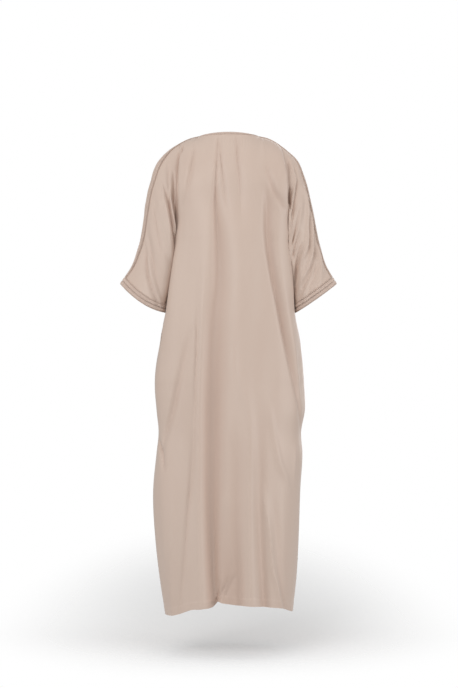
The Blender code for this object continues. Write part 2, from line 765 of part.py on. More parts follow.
def main():
    for old in list(bpy.data.objects):
        bpy.data.objects.remove(old)
    robe = bpy.data.collections.new("kimono_sleeve_robe")
    bpy.context.scene.collection.children.link(robe)
    cloth = finish("cloth", CLOTH_COLOUR, 0.62)
    braid = finish("braid", BRAID_COLOUR, 0.70)
    garment = Garment()

    def panel(face):
        return [
            cell
            for part in ("upper", "lower", "sleeve")
            for side in (LEFT, RIGHT)
            for cell in garment.cells(part, side, face)
        ]

    def neck_cells():
        ring = [cell for side in (LEFT, RIGHT) for face in (BACK, FRONT) for cell in garment.cells("neck", side, face)]
        return ring + [cell for side in (LEFT, RIGHT) for cell in garment.cells("slit", side, FRONT)]

    panels = {BACK: panel(BACK), FRONT: panel(FRONT)}
    neck = neck_cells()
    wall("back_panel", garment, panels[BACK], -CLOTH, 0.0, cloth, robe, panels[FRONT] + neck)
    wall("front_panel", garment, panels[FRONT], -CLOTH, 0.0, cloth, robe, panels[BACK] + neck)
    wall("neck_braid", garment, neck, -CLOTH, NECK_BRAID - CLOTH, braid, robe, panels[BACK] + panels[FRONT])

    for side, name in ((LEFT, "left"), (RIGHT, "right")):
        shoulder = []
        band = []
        for face in (BACK, FRONT):
            shoulder += garment.cells("upper", side, face, (0, 1), (NECK_COLUMNS, COLUMNS))
            shoulder += garment.cells("sleeve", side, face, (0, 1), (0, SLEEVE_COLUMNS - 1))
            band += garment.cells("sleeve", side, face, None, (SLEEVE_COLUMNS - 1, SLEEVE_COLUMNS))
        low, high = SEAM_GAP, SEAM_GAP + BRAID
        wall(f"shoulder_braid_{name}", garment, shoulder, low, high, braid, robe, neck + band)
        wall(f"cuff_braid_{name}", garment, band, low, high, braid, robe, shoulder)


main()
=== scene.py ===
"""Fine form and finish of the loose kimono-sleeve robe: two cloth shells with their folds, seams and hem,
and the plaited braids on its neck, shoulders and cuffs.

Metres, +Z up, the front faces -Y and the wearer's left is +X. `drop` is the distance below the origin, which
is the middle of the neck opening, level with the shoulder line.
"""

import math

import bpy
import numpy as np
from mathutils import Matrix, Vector


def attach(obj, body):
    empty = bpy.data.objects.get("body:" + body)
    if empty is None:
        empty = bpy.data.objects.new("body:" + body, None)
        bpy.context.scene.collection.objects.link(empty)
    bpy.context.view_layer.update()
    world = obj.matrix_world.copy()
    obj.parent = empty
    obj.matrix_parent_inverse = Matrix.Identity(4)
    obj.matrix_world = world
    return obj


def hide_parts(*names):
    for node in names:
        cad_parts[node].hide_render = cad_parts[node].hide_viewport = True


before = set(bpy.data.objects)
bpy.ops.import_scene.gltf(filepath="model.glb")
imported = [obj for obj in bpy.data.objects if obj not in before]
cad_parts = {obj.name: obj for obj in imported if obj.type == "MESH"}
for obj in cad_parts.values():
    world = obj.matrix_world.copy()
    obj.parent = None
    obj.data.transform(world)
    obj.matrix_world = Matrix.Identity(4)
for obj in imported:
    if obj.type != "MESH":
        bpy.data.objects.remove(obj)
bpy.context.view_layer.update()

# ------------------------------------------------------------------ sizes of the garment, as in its solids
BRAID_WIDTH = 0.0095  # the neck braid, and each half of the shoulder braid
CUFF_BAND = 0.026  # width of the braid round the cuff
NECK_HALF_WIDTH = 0.0905  # to the outer edge of the neck braid
BACK_NECK = (0.066, 0.003)  # depth behind the origin and rise, at the outer edge of the neck braid
FRONT_NECK = (0.088, -0.082)  # depth ahead of the origin and fall
BRAID_RISE = 0.006  # how much the inner edge of the neck braid stands above its outer edge
SLIT_HALF_OPENING = 0.011  # half the gap of the front slit at the neck
SLIT_SPREAD = 0.075  # how far from the middle the cloth is pushed aside by the slit
SLIT_BOTTOM_DROP = 0.232
ARMPIT_DROP = 0.315
BLADE_DROP = 0.168
HEM_DROP = 1.424
ROUNDNESS = 0.78  # exponent of a section's depth: 1 is an ellipse, less is boxier

LEFT, RIGHT = 1, -1
BACK, FRONT = 1, -1
VALLEY_X = {LEFT: 0.150, RIGHT: 0.156}  # where the sleeve parts from the body
CUFF_INNER_X = {LEFT: 0.190, RIGHT: 0.199}  # the underarm end of the cuff
CUFF_INNER_DROP = 0.527
SEAM_TURN = {LEFT: 0.58, RIGHT: 0.26}  # how far the overarm seam turns to the back, in radians
SEAM_LEAN = {LEFT: 0.32, RIGHT: 0.12}  # how much flatter the back of the sleeve lies beside that seam
CUFF_SAG = {LEFT: 0.016, RIGHT: 0.003}  # how much the back of the cuff hangs below a straight edge
SLIT_DROPS = (0.470, 0.620)  # the hand slit in each side seam
HAND_SLIT_GAP = 0.014

OVERARM = (
    # place           left    right   drop
    ("neck", 0.0905, 0.0905, 0.000),
    ("slope", 0.1150, 0.1160, 0.006),
    ("shoulder", 0.1470, 0.1440, 0.021),
    ("shoulder cap", 0.1810, 0.1730, 0.043),
    ("shoulder end", 0.2130, 0.2040, 0.073),
    ("upper arm", 0.2340, 0.2255, 0.122),
    ("arm", 0.2510, 0.2465, 0.205),
    ("elbow", 0.2715, 0.2720, 0.330),
    ("flare", 0.2890, 0.2885, 0.385),
    ("corner", 0.3250, 0.3215, 0.441),
)

BODY = (
    # level     drop   left   right  back   front  press
    ("blades", 0.168, 0.162, 0.167, 0.117, 0.115, 0.012),
    ("armpit", 0.315, 0.166, 0.174, 0.136, 0.141, 0.016),
    ("elbow", 0.430, 0.178, 0.189, 0.143, 0.151, 0.018),
    ("cuff", 0.528, 0.190, 0.197, 0.148, 0.157, 0.014),
    ("slit", 0.620, 0.207, 0.213, 0.152, 0.162, 0.003),
    ("hip", 0.740, 0.223, 0.224, 0.157, 0.167, 0.000),
    ("thigh", 0.820, 0.217, 0.227, 0.160, 0.170, 0.000),
    ("dip", 0.885, 0.211, 0.216, 0.163, 0.172, 0.000),
    ("flank", 0.945, 0.217, 0.220, 0.165, 0.173, 0.000),
    ("knee", 1.050, 0.227, 0.214, 0.168, 0.176, 0.000),
    ("shin", 1.200, 0.221, 0.208, 0.174, 0.181, 0.000),
    ("calf", 1.330, 0.206, 0.201, 0.179, 0.185, 0.000),
    ("hem", 1.424, 0.191, 0.191, 0.183, 0.188, 0.000),
)

SEAM_SHIFT = (
    # drop   left   right
    (0.315, 0.000, 0.000),
    (0.470, 0.004, 0.002),
    (0.600, 0.058, 0.034),
    (0.760, 0.030, 0.018),
    (1.000, 0.006, 0.004),
    (1.424, 0.000, 0.000),
)

SLEEVE = (
    # along   back   front  lean
    (0.00, 0.070, 0.066, 0.00),
    (0.25, 0.073, 0.070, 0.04),
    (0.50, 0.066, 0.070, 0.12),
    (0.75, 0.062, 0.070, 0.22),
    (1.00, 0.066, 0.072, 0.26),
)

HEM_RISE = {
    BACK: (
        # x     rise
        (-0.189, 0.008),
        (-0.165, 0.023),
        (-0.120, 0.033),
        (-0.018, 0.043),
        (0.020, 0.048),
        (0.040, 0.051),
        (0.054, 0.036),
        (0.075, 0.031),
        (0.112, 0.026),
        (0.135, 0.016),
        (0.165, 0.004),
        (0.190, 0.000),
    ),
    FRONT: (
        (-0.189, 0.008),
        (-0.150, 0.018),
        (-0.060, 0.031),
        (0.000, 0.035),
        (0.060, 0.030),
        (0.150, 0.012),
        (0.190, 0.000),
    ),
}

# ------------------------------------------------------------------ folds
# Each fold runs down one face: a valley where its height is negative, else a ridge. After the fold's
# sharpness come its stations, in millimetres: drop, x, half widths towards the wearer's left and right, and
# height. A crisp fold has a crease at its middle, a soft one is round.
CRISP, SOFT = 1.25, 2.0
MM_PER_METRE = 1000

BACK_FOLDS = {
    "long valley": (
        SOFT,
        (-10, 32, 4, 10, -0.6), (60, 36, 5, 12, -1.6), (137, 39, 6, 15, -2.6), (203, 40, 9, 18, -7.3),
        (290, 34.5, 12, 24, -12.4), (433, 34.5, 16, 32, -14.7), (529, 42, 21, 34, -15),
        (629, 50, 19, 40, -17.5), (725, 54.5, 18, 40, -19.5), (848, 57, 18, 36, -22.5),
        (1075, 56, 18, 30, -24.5), (1229, 52.5, 18, 22, -25.5), (1330, 49.5, 17, 18, -25.5),
        (1440, 48, 14, 15, -25.5),
    ),
    "long valley brow": (
        SOFT,
        (360, 74, 12, 12, 0), (500, 78, 12, 11, 3.5), (640, 83, 12, 10, 5), (840, 88, 14, 10, 6),
        (1080, 88, 16, 11, 6.5), (1250, 84, 18, 12, 6), (1440, 82, 20, 14, 6.5),
    ),
    "left seat crease": (
        CRISP,
        (500, 95.5, 5, 6, 0), (560, 95.5, 5, 7, -3.4), (620, 95.7, 5, 7, -4.6), (700, 98.5, 5, 7, -4.6),
        (780, 101, 5, 7, -4), (860, 103, 5, 8, -2), (910, 105, 6, 8, 0),
    ),
    "apex crease": (
        CRISP,
        (6, 32.5, 3, 4, 0), (30, 33.6, 4, 5, -3), (80, 36.2, 4, 5, -4), (137, 39.2, 4, 6, -4.2),
        (203, 41.5, 5, 8, -4), (286, 38.5, 6, 10, -3), (400, 39, 8, 12, 0),
    ),
    "left armhole crease": (
        CRISP,
        (22, 138.5, 3, 4, 0), (34, 140, 3, 4, -6.5), (48, 143.2, 3, 4, -8.5), (60, 146.5, 3, 3, -5),
        (75, 149, 3, 3, 0),
    ),
    "inner pleat": (
        CRISP,
        (16, 30.5, 4, 4, 0), (37, 28, 5, 4, -3.4), (70, 24.5, 5, 4, -4.8), (101, 21, 6, 4, -4.8),
        (170, 12.8, 7, 6, -3.6), (217, 3, 9, 8, -1.8), (270, -6, 11, 10, 0),
    ),
    "pleat tongue": (
        SOFT,
        (20, 31.5, 5, 5, 0.5), (80, 30, 6, 6, 2.2), (170, 28, 10, 9, 2), (260, 25, 12, 12, 0),
    ),
    "right pleat": (
        CRISP,
        (-6, -23, 3, 4, 0), (20, -23.3, 4, 6, -3.6), (68, -23.8, 4, 7, -5.2), (128, -30, 5, 8, -4.8),
        (185, -33.5, 7, 10, -3.4), (270, -37, 11, 14, 0),
    ),
    "left blade crease": (
        CRISP,
        (30, 100, 5, 5, 0), (55, 105, 5, 7, -4), (109, 114.5, 6, 8, -5.6), (154, 124, 7, 10, -4.4),
        (200, 131, 10, 14, -2), (270, 137, 14, 20, 0),
    ),
    "right blade crease": (
        CRISP,
        (26, -150, 5, 4, 0), (56, -164, 7, 4, -5), (110, -178, 7, 4, -6.6), (152, -181.5, 7, 4, -8),
        (190, -182, 7, 4, -10), (225, -181.5, 7, 4, -6), (330, -180, 7, 4, -6), (350, -179, 6, 4, 0),
    ),
    "right blade drag": (
        SOFT,
        (80, -108, 9, 10, 0), (109, -115, 7, 10, -3.8), (168, -132.5, 7, 10, -6), (201, -152, 7, 10, -5.2),
        (240, -168, 9, 12, 0),
    ),
    "right fall": (
        SOFT,
        (140, -110, 16, 22, 0), (202, -115, 12, 22, -9.7), (285, -116, 11, 22, -15.6),
        (358, -122.5, 10, 20, -17.5), (432, -133.5, 9, 18, -16.8), (505, -147.5, 8, 16, -15.6),
        (579, -161.5, 8, 14, -15), (676, -181.5, 8, 12, -10), (750, -198, 10, 10, -7),
        (824, -212, 10, 8, -4), (900, -218, 10, 8, 0),
    ),
    "right fall brow": (
        SOFT,
        (300, -142, 12, 20, 0), (430, -158, 10, 16, 2), (580, -183, 8, 14, 3.4), (680, -198, 7, 12, 3.4),
        (760, -208, 6, 10, 2), (840, -216, 6, 10, 0),
    ),
    "middle back": (
        SOFT,
        (260, -30, 26, 30, 0), (420, -34, 30, 34, 3.5), (680, -30, 30, 30, 4.5), (840, -60, 14, 16, 5),
        (1084, -60.5, 13, 16, 7), (1250, -62, 16, 20, 8.5), (1440, -66, 16, 22, 10),
    ),
    "seat dimple": (
        CRISP,
        (590, -20.5, 8, 8, 0), (640, -20.5, 8, 8, -1.6), (710, -20.5, 8, 8, -1.6), (790, -21, 8, 8, 0),
    ),
    "middle valley": (
        SOFT,
        (840, -20, 18, 16, 0), (950, -23, 20, 16, -5), (1050, -23, 20, 16, -6.5), (1150, -24, 18, 15, -7),
        (1255, -33, 16, 13, -7), (1327, -36, 14, 11, -8), (1440, -37, 13, 10, -9),
    ),
    "hem hollow": (
        SOFT,
        (1080, 4, 30, 30, 0), (1200, 3, 34, 34, -6.8), (1290, 0, 36, 36, -13.5), (1360, -2, 38, 34, -17.5),
        (1440, -2, 38, 34, -20.3),
    ),
    "right thigh ridge": (
        SOFT,
        (780, -118, 12, 12, 0), (866, -129, 12, 10, 4), (966, -148.8, 12, 9, 5), (1014, -168.6, 12, 9, 3.5),
        (1070, -185, 12, 9, 0),
    ),
    "right knee hollow": (
        SOFT,
        (760, -98, 20, 18, 0), (960, -96, 20, 14, -5), (1150, -96, 18, 12, -7.7),
        (1300, -103, 18, 12, -10.5), (1440, -112, 16, 12, -14.3),
    ),
    "right shin ridge": (
        CRISP,
        (1010, -101, 8, 10, 0), (1076, -104.4, 8, 10, 4), (1184, -119, 8, 11, 6.5),
        (1281, -126.3, 9, 12, 7), (1332, -140, 10, 10, 7), (1440, -158, 12, 12, 8),
    ),
    "right shin hollow": (
        SOFT,
        (1040, -125, 12, 16, 0), (1150, -137, 13, 16, -3.4), (1260, -144, 12, 14, -3.7),
        (1356, -156, 10, 10, -3.7), (1440, -176, 10, 10, -2.3),
    ),
    "right flank pinch": (
        CRISP,
        (910, -201, 8, 6, 0), (945, -196, 8, 6, 3), (1005, -195, 8, 6, 3), (1060, -199, 8, 6, 0),
    ),
    "left hip drag": (
        SOFT,
        (560, 108, 10, 12, 0), (676, 138, 10, 13, -5), (800, 164.8, 9, 14, -6.2), (874, 186, 8, 13, -5),
        (960, 204, 8, 12, 0),
    ),
    "left flank notch": (
        CRISP,
        (890, 214, 6, 6, 0), (919, 208.5, 6, 7, -11.1), (951, 200, 6, 7, -9.7), (1000, 190, 6, 8, 0),
    ),
    "left shin crease": (
        CRISP,
        (860, 102, 7, 9, 0), (916, 105.5, 7, 9, -3.6), (1038, 115, 6, 9, -4.8), (1112, 122.3, 6, 9, -4.8),
        (1208, 129.7, 6, 9, -4.4), (1305, 137, 6, 9, -3.8), (1355, 142, 6, 9, -2.8),
        (1440, 150, 6, 9, -1.4),
    ),
    "left calf swell": (
        SOFT,
        (960, 160, 20, 18, 0), (1150, 165, 20, 18, 3), (1440, 168, 18, 18, 4.5),
    ),
    "hem crumple left": (
        CRISP,
        (1304, 29.2, 3.5, 4.5, 0), (1328, 32.8, 3.5, 4.5, -5.5), (1351, 38, 3.5, 5, -8.5),
        (1375, 43.9, 3.5, 5, -9), (1410, 48.3, 3.5, 5, -7),
    ),
    "hem crumple middle": (
        CRISP,
        (1293, -2.9, 3.5, 4.5, 0), (1313, 7.3, 3.5, 4.5, -4.5), (1337, 19, 3.5, 4.5, -6),
        (1360, 29.2, 3.5, 4.5, -5), (1380, 36.6, 3.5, 4.5, 0),
    ),
    "hem crumple right": (
        CRISP,
        (1287, -26.3, 3.5, 4.5, 0), (1307, -11.7, 3.5, 4.5, -3.6), (1331, 1.5, 3.5, 4.5, -4.6),
        (1354, 11.7, 3.5, 4.5, -3.8), (1378, 19, 3.5, 4.5, 0),
    ),
}

FRONT_FOLDS = {
    "chest left": (
        SOFT,
        (160, 60, 10, 14, 0), (360, 66, 12, 20, -6.5), (700, 60, 13, 24, -10.5), (1050, 66, 14, 24, -15),
        (1440, 72, 13, 20, -21),
    ),
    "chest left brow": (
        SOFT,
        (420, 94, 12, 10, 0), (700, 90, 14, 10, 4.5), (1440, 102, 18, 12, 6.5),
    ),
    "chest right": (
        SOFT,
        (200, -52, 12, 10, 0), (420, -58, 18, 12, -7.5), (800, -70, 22, 13, -11.5),
        (1100, -72, 22, 14, -15), (1440, -66, 20, 13, -19),
    ),
    "slit drag left": (
        CRISP,
        (225, 10, 6, 6, 0), (270, 16, 7, 8, -3), (360, 26, 9, 11, -3), (480, 34, 12, 14, 0),
    ),
    "slit drag right": (
        CRISP,
        (230, -8, 6, 6, 0), (290, -13, 7, 7, -2.6), (380, -20, 10, 9, -2.4), (520, -26, 13, 11, 0),
    ),
    "front middle ridge": (
        SOFT,
        (300, 4, 18, 22, 0), (700, -6, 22, 26, 6), (1440, -2, 26, 28, 12),
    ),
    "chest drape left": (
        SOFT,
        (100, 92, 8, 10, 0), (180, 104, 9, 12, -4), (270, 122, 9, 13, -4.8), (350, 140, 9, 12, 0),
    ),
    "chest drape right": (
        SOFT,
        (80, -88, 10, 8, 0), (170, -106, 12, 9, -4.5), (250, -126, 13, 9, -4.5), (330, -146, 12, 9, 0),
    ),
    "front left fall": (
        SOFT,
        (220, 112, 12, 10, 0), (450, 122, 15, 10, -7), (800, 142, 15, 10, -9), (1150, 132, 15, 11, -12),
        (1440, 128, 14, 12, -16),
    ),
    "front right fall": (
        SOFT,
        (240, -108, 10, 12, 0), (500, -124, 9, 15, -7), (900, -150, 10, 16, -10), (1200, -132, 10, 16, -11),
        (1440, -126, 11, 15, -15),
    ),
    "front shin crease left": (
        CRISP,
        (820, 22, 7, 9, 0), (1000, 26, 8, 11, -4.5), (1240, 34, 8, 12, -6.5), (1440, 38, 9, 13, -8.5),
    ),
    "front shin crease right": (
        CRISP,
        (920, -102, 10, 7, 0), (1120, -106, 11, 8, -4.5), (1300, -100, 12, 8, -6), (1440, -96, 12, 9, -7.5),
    ),
    "front hip drag": (
        SOFT,
        (600, -120, 12, 10, 0), (720, -150, 13, 10, -5), (840, -176, 13, 9, -5), (940, -198, 12, 8, 0),
    ),
    "front flank drag": (
        SOFT,
        (640, 128, 10, 12, 0), (780, 160, 10, 13, -4.8), (900, 186, 9, 13, -4.8), (990, 204, 8, 12, 0),
    ),
}

# Folds of the sleeves' backs, written as those of the body. They lie on the sleeves alone.
SLEEVE_BACK_FOLDS = {
    "left armhole groove": (
        CRISP,
        (37, 144, 7.5, 8, 0), (55, 147, 7.5, 8, -7.5), (78, 150.6, 7.5, 8, -8.5),
        (102, 152.4, 7.5, 8, -7.5), (132, 154.2, 7.5, 8, -7), (162, 155.1, 7.5, 8, -7),
        (191, 155.4, 7.5, 8, -8), (215, 154.8, 5, 7, -12), (236, 153.3, 5, 7, -17), (263, 153, 5, 7, -15),
        (287, 155.4, 5, 6, -6), (310, 158.9, 5, 6, -3), (340, 161.9, 5, 5, -1), (376, 166.7, 5, 5, 0),
    ),
    "left armpit ridge": (
        SOFT,
        (153, 175.6, 5, 5, 0), (180, 173.2, 5, 5, 4), (203, 170.5, 5, 5, 6), (230, 167, 5, 5, 7.5),
        (257, 161.9, 5, 5, 8.5), (284, 158.9, 5, 5, 6.5), (305, 157.1, 5, 5, 0),
    ),
    "right armhole groove": (
        CRISP,
        (60, -173.2, 5, 5, 0), (84, -176.2, 6, 5, -6), (117, -176.8, 6, 5, -4), (144, -178, 6, 5, -2),
        (171, -179.2, 6, 5, -8.5), (197, -178.6, 6, 5, -10), (221, -179.8, 5, 5, -2),
        (245, -180.4, 5, 5, 0),
    ),
    "right armhole filling": (
        SOFT,
        (203, -179.8, 5, 5, 0), (227, -180.4, 6, 5, 8), (251, -181, 6, 5, 14), (281, -181, 6, 5, 15),
        (305, -181, 6, 5, 12), (328, -181, 6, 5, 11), (364, -183.9, 5, 5, 7), (394, -190.5, 5, 5, 0),
    ),
    "left sleeve drag": (
        CRISP,
        (126, 202.4, 5, 5, 0), (153, 192.9, 5, 5, -4), (180, 186.3, 5, 5, -7.5), (203, 179.2, 5, 5, -9.5),
        (230, 172.9, 5, 6, -10.5), (257, 167, 5, 6, -11), (284, 162.8, 5, 5, -8.5), (310, 159.5, 5, 5, -7),
        (334, 159.5, 5, 5, 0),
    ),
    "left sleeve drag brow": (
        SOFT,
        (180, 196.4, 5, 5, 0), (212, 186.6, 5, 5, 3), (239, 181, 5, 5, 4), (269, 175.6, 5, 5, 3.5),
        (305, 171.1, 5, 5, 0),
    ),
    "left armpit pleat": (
        CRISP,
        (99, 165.5, 5, 5, 0), (126, 166.1, 5, 5, -5), (153, 165.5, 5, 5, -7.5), (180, 164.3, 5, 5, -9),
        (206, 161.9, 5, 5, -7), (230, 158.3, 5, 5, 0),
    ),
    "left armpit tuck": (
        CRISP,
        (72, 183.3, 5, 5, 0), (102, 182.1, 5, 5, -3), (141, 180.4, 5, 5, -4.2), (180, 178.9, 5, 5, -4.5),
        (209, 174.4, 5, 5, -3), (230, 170.2, 5, 5, 0),
    ),
    "left elbow crease": (
        CRISP,
        (206, 229.2, 5, 5, 0), (233, 224.4, 5, 5, -2.8), (263, 219, 5, 5, -4), (293, 213.1, 5, 5, -4),
        (328, 206.5, 5, 5, -3.2), (364, 200, 5, 5, 0),
    ),
    "left elbow pleat": (
        CRISP,
        (299, 241.1, 5, 5, 0), (331, 236.3, 5, 5, -3.2), (364, 231, 5, 5, -5), (391, 226.2, 5, 5, -4.6),
        (421, 219, 5, 5, -4.2), (447, 210.7, 5, 5, -3.4), (480, 202.4, 5, 5, 0),
    ),
    "left cuff crease": (
        CRISP,
        (310, 254.2, 5, 5, 0), (340, 250, 5, 5, -4.6), (367, 248.2, 5, 6, -6.6), (394, 246.4, 5, 6, -7),
        (421, 241.7, 5, 6, -7), (447, 233.3, 5, 6, -6.4), (474, 222.6, 5, 6, -6), (498, 213.1, 5, 5, -5),
        (519, 206.5, 5, 5, 0),
    ),
    "left cuff brow": (
        SOFT,
        (340, 241.1, 5, 5, 0), (364, 239.9, 5, 5, 3), (391, 237.5, 5, 5, 3.4), (418, 231.5, 5, 5, 3.4),
        (444, 222.6, 5, 5, 3), (471, 213.1, 5, 5, 2.8), (498, 203.6, 5, 5, 2.6), (516, 198.2, 5, 5, 0),
    ),
    "right sleeve brow": (
        SOFT,
        (72, -186, 5, 5, 0), (96, -187.5, 5, 5, 3), (126, -199.4, 5, 5, 4.5), (150, -196.4, 5, 5, 5.5),
        (177, -191.1, 5, 5, 6), (203, -185.7, 5, 5, 6), (233, -183.3, 5, 5, 0),
    ),
    "right sleeve drag": (
        CRISP,
        (78, -194.6, 5, 5, 0), (102, -198.2, 5, 5, -4), (132, -203.6, 5, 5, -6), (153, -201.8, 5, 5, -7),
        (180, -197.6, 5, 5, -6), (206, -192.3, 5, 5, -7), (233, -186.3, 5, 5, -7), (257, -182.7, 5, 5, 0),
    ),
    "right armpit pleat": (
        CRISP,
        (203, -213.1, 5, 5, 0), (230, -208.3, 5, 5, -4), (257, -203, 5, 5, -5.6), (284, -197, 5, 6, -8.2),
        (310, -188.7, 5, 5, -10), (334, -182.7, 5, 5, 0),
    ),
    "right armpit brow": (
        SOFT,
        (221, -196.4, 5, 5, 0), (251, -191.7, 5, 5, 4), (281, -187.5, 5, 5, 5), (310, -182.7, 5, 5, 0),
    ),
    "right armpit tuck": (
        CRISP,
        (275, -214.3, 5, 5, 0), (302, -207.1, 5, 5, -4.6), (328, -197.6, 5, 6, -6.4),
        (358, -188.7, 5, 6, -8), (382, -183.9, 5, 5, 0),
    ),
    "right elbow hollow": (
        SOFT,
        (310, -229.2, 5, 7, 0), (334, -215.8, 6, 7, -5), (361, -206.8, 6, 7, -8), (388, -199.4, 6, 7, -11),
        (415, -194.6, 5, 6, -11), (441, -193.5, 5, 5, -8), (471, -196.4, 5, 5, 0),
    ),
    "right elbow brow": (
        SOFT,
        (367, -229.2, 6.8, 6.8, 0), (397, -217.3, 6.8, 6.8, 3.5), (418, -214.3, 6.8, 6.8, 5),
        (447, -210.1, 6.8, 6.8, 5), (477, -213.1, 6.8, 6.8, 0),
    ),
    "right long ridge": (
        SOFT,
        (138, -209.8, 8, 6.8, 0), (159, -222, 8, 6.8, 4.5), (180, -229.8, 8, 6.8, 7),
        (206, -232.7, 8, 6.8, 8.5), (233, -235.1, 8, 6.8, 8.5), (260, -233.9, 8, 6.8, 8),
        (287, -233.3, 8, 6.8, 8), (313, -232.7, 8, 6.8, 8), (340, -228.6, 8, 6.8, 6.5),
        (364, -219, 8, 6.8, 3), (382, -208.3, 8, 6.8, 0),
    ),
    "right outer ridge": (
        SOFT,
        (215, -242.9, 6.8, 6.8, 0), (239, -245.8, 6.8, 6.8, 5), (266, -247, 6.8, 6.8, 7.2),
        (293, -247.6, 6.8, 6.8, 7.5), (319, -247.6, 6.8, 6.8, 7.5), (346, -246.4, 6.8, 6.8, 7.5),
        (370, -242.3, 6.8, 6.8, 6.5), (394, -233.3, 6.8, 6.8, 6), (421, -219.6, 6.8, 6.8, 5.5),
        (447, -210.1, 6.8, 6.8, 0),
    ),
    "right ridge crease": (
        CRISP,
        (206, -242.3, 6.8, 6.8, 0), (233, -241.1, 6.8, 6.8, -6), (263, -239.9, 6.8, 6.8, -6.3),
        (299, -240.5, 6.8, 6.8, -6.3), (334, -239.3, 6.8, 6.8, -5.4), (361, -233.9, 6.8, 6.8, 0),
    ),
    "right cuff crease": (
        CRISP,
        (299, -254.2, 6.8, 6.8, 0), (328, -257.1, 6.8, 6.8, -6.9), (352, -257.1, 6.8, 6.8, -8.5),
        (376, -251.8, 6.8, 6.8, -7.5), (397, -245.8, 6.8, 6.8, -7.1), (421, -238.1, 6.8, 6.8, -7.1),
        (444, -225.6, 6.8, 6.8, -6), (471, -211.3, 6.8, 6.8, -3.4), (492, -201.8, 6.8, 6.8, 0),
    ),
    "right cuff ridge": (
        SOFT,
        (316, -263.7, 7.5, 11.5, 0), (337, -267.9, 7.5, 11.5, 4.6), (364, -271.4, 7.5, 11.5, 7.2),
        (391, -272.6, 7.5, 11.5, 7.2), (418, -270.2, 7.5, 11.5, 6.5), (447, -264.3, 7.5, 11.5, 4.6),
        (477, -261.3, 7.5, 11.5, 0),
    ),
    "right cuff fold": (
        SOFT,
        (355, -254.8, 6.8, 6.8, 0), (376, -254.8, 6.8, 6.8, 4), (397, -252.4, 6.8, 6.8, 5),
        (421, -244.6, 6.8, 6.8, 4.2), (447, -233.3, 6.8, 6.8, 4), (474, -225, 6.8, 6.8, 4.5),
        (501, -222, 6.8, 6.8, 0),
    ),
    "right cuff hollow": (
        SOFT,
        (376, -261.3, 6.8, 6.8, 0), (394, -260.1, 6.8, 6.8, -4), (421, -251.8, 6.8, 6.8, -3.6),
        (447, -239.9, 6.8, 6.8, -3.4), (477, -235.1, 6.8, 6.8, 0),
    ),
}

# Folds of the sleeves' fronts: the place along the sleeve (0 at the body, 1 at the cuff) and around it (0 at
# the overarm seam, 1 at the underarm seam), then half width and height in millimetres.
SLEEVE_FRONT_FOLDS = {
    LEFT: (
        (CRISP, (0.1, 0.18, 7, 0), (0.09, 0.36, 10, -6), (0.07, 0.66, 10, -6.5), (0.05, 0.9, 8, 0)),
        (SOFT, (0.2, 0.2, 10, 0), (0.3, 0.44, 14, -6), (0.42, 0.68, 14, -5), (0.5, 0.88, 12, 0)),
        (
            SOFT,
            (0.58, 0.06, 9, 0), (0.68, 0.2, 10, -6.5), (0.78, 0.4, 11, -7.5), (0.86, 0.62, 10, -5),
            (0.92, 0.8, 9, 0),
        ),
        (SOFT, (0.54, 0.2, 9, 0), (0.66, 0.38, 10, 5), (0.76, 0.58, 10, 4), (0.84, 0.78, 9, 0)),
    ),
    RIGHT: (
        (CRISP, (0.09, 0.2, 7, 0), (0.08, 0.4, 10, -6), (0.07, 0.7, 10, -6), (0.05, 0.92, 8, 0)),
        (SOFT, (0.22, 0.22, 10, 0), (0.32, 0.46, 14, -6), (0.4, 0.72, 14, -5), (0.46, 0.9, 12, 0)),
        (
            SOFT,
            (0.54, 0.04, 9, 0), (0.66, 0.18, 10, -6.5), (0.77, 0.36, 11, -8), (0.84, 0.58, 10, -5),
            (0.9, 0.8, 9, 0),
        ),
        (SOFT, (0.5, 0.18, 9, 0), (0.6, 0.34, 10, 5.5), (0.7, 0.54, 11, 4), (0.8, 0.76, 9, 0)),
    ),
}

# The tuck where a sleeve parts from the body, by the share of the way from the shoulder to the armpit.
ARMHOLE_TUCK = (
    # share  half width  left     right
    (0.00, 0.004, 0.0000, 0.0000),
    (0.35, 0.005, 0.0000, 0.0000),
    (0.60, 0.005, -0.0010, -0.0020),
    (0.78, 0.006, -0.0045, -0.0040),
    (0.90, 0.006, -0.0060, -0.0050),
    (1.00, 0.006, -0.0040, -0.0040),
)


# ------------------------------------------------------------------ how the cloth is drawn and falls
# How far the back's edge beside each armhole is drawn towards the middle (+) or away from it (-).
ARMHOLE_DRAW = (
    # drop   left     right
    (0.015, 0.0000, 0.0000),
    (0.060, 0.0060, -0.0060),
    (0.100, 0.0100, -0.0085),
    (0.250, 0.0100, -0.0085),
    (0.320, 0.0070, -0.0050),
    (0.400, 0.0040, -0.0030),
    (0.520, 0.0000, 0.0000),
)
# The x between which that draw grows, and between which it fades again.
ARMHOLE_GROWS, ARMHOLE_FADES = (0.100, 0.150), (0.166, 0.225)
FULLNESS = {BACK: 0.58, FRONT: 0.30}  # how much squarer than round each face of a sleeve is beside the body

# How a column of the cloth runs from the shoulder line over the blade to the armpit level.
LEAVING_PULL = 1.66  # strength of the slope with which it leaves the shoulder line
LEAVING_ACROSS = 0.9  # how much of that pull goes sideways
ARRIVING_PULL = 0.9  # strength of the slope with which it reaches the blade level, against that pull
SHOULDER_LEAN = {BACK: 0.15, FRONT: 0.10}  # how steeply it leaves the shoulder
NECK_LEAN = {BACK: 0.40, FRONT: 0.62}  # how much more steeply it leaves the neck
SLEEVE_HEAD_LEAN = 0.04  # how steeply it leaves the shoulder line away from the neck
NECK_FLARE, FLARE_COLUMNS = 0.05, 2  # its slope outward below the end of the neck line, and over how many
BLADE_SLOPE, ARMPIT_SLOPE = 0.25, 0.30  # share of the fall's depth in its slope at each of the two levels

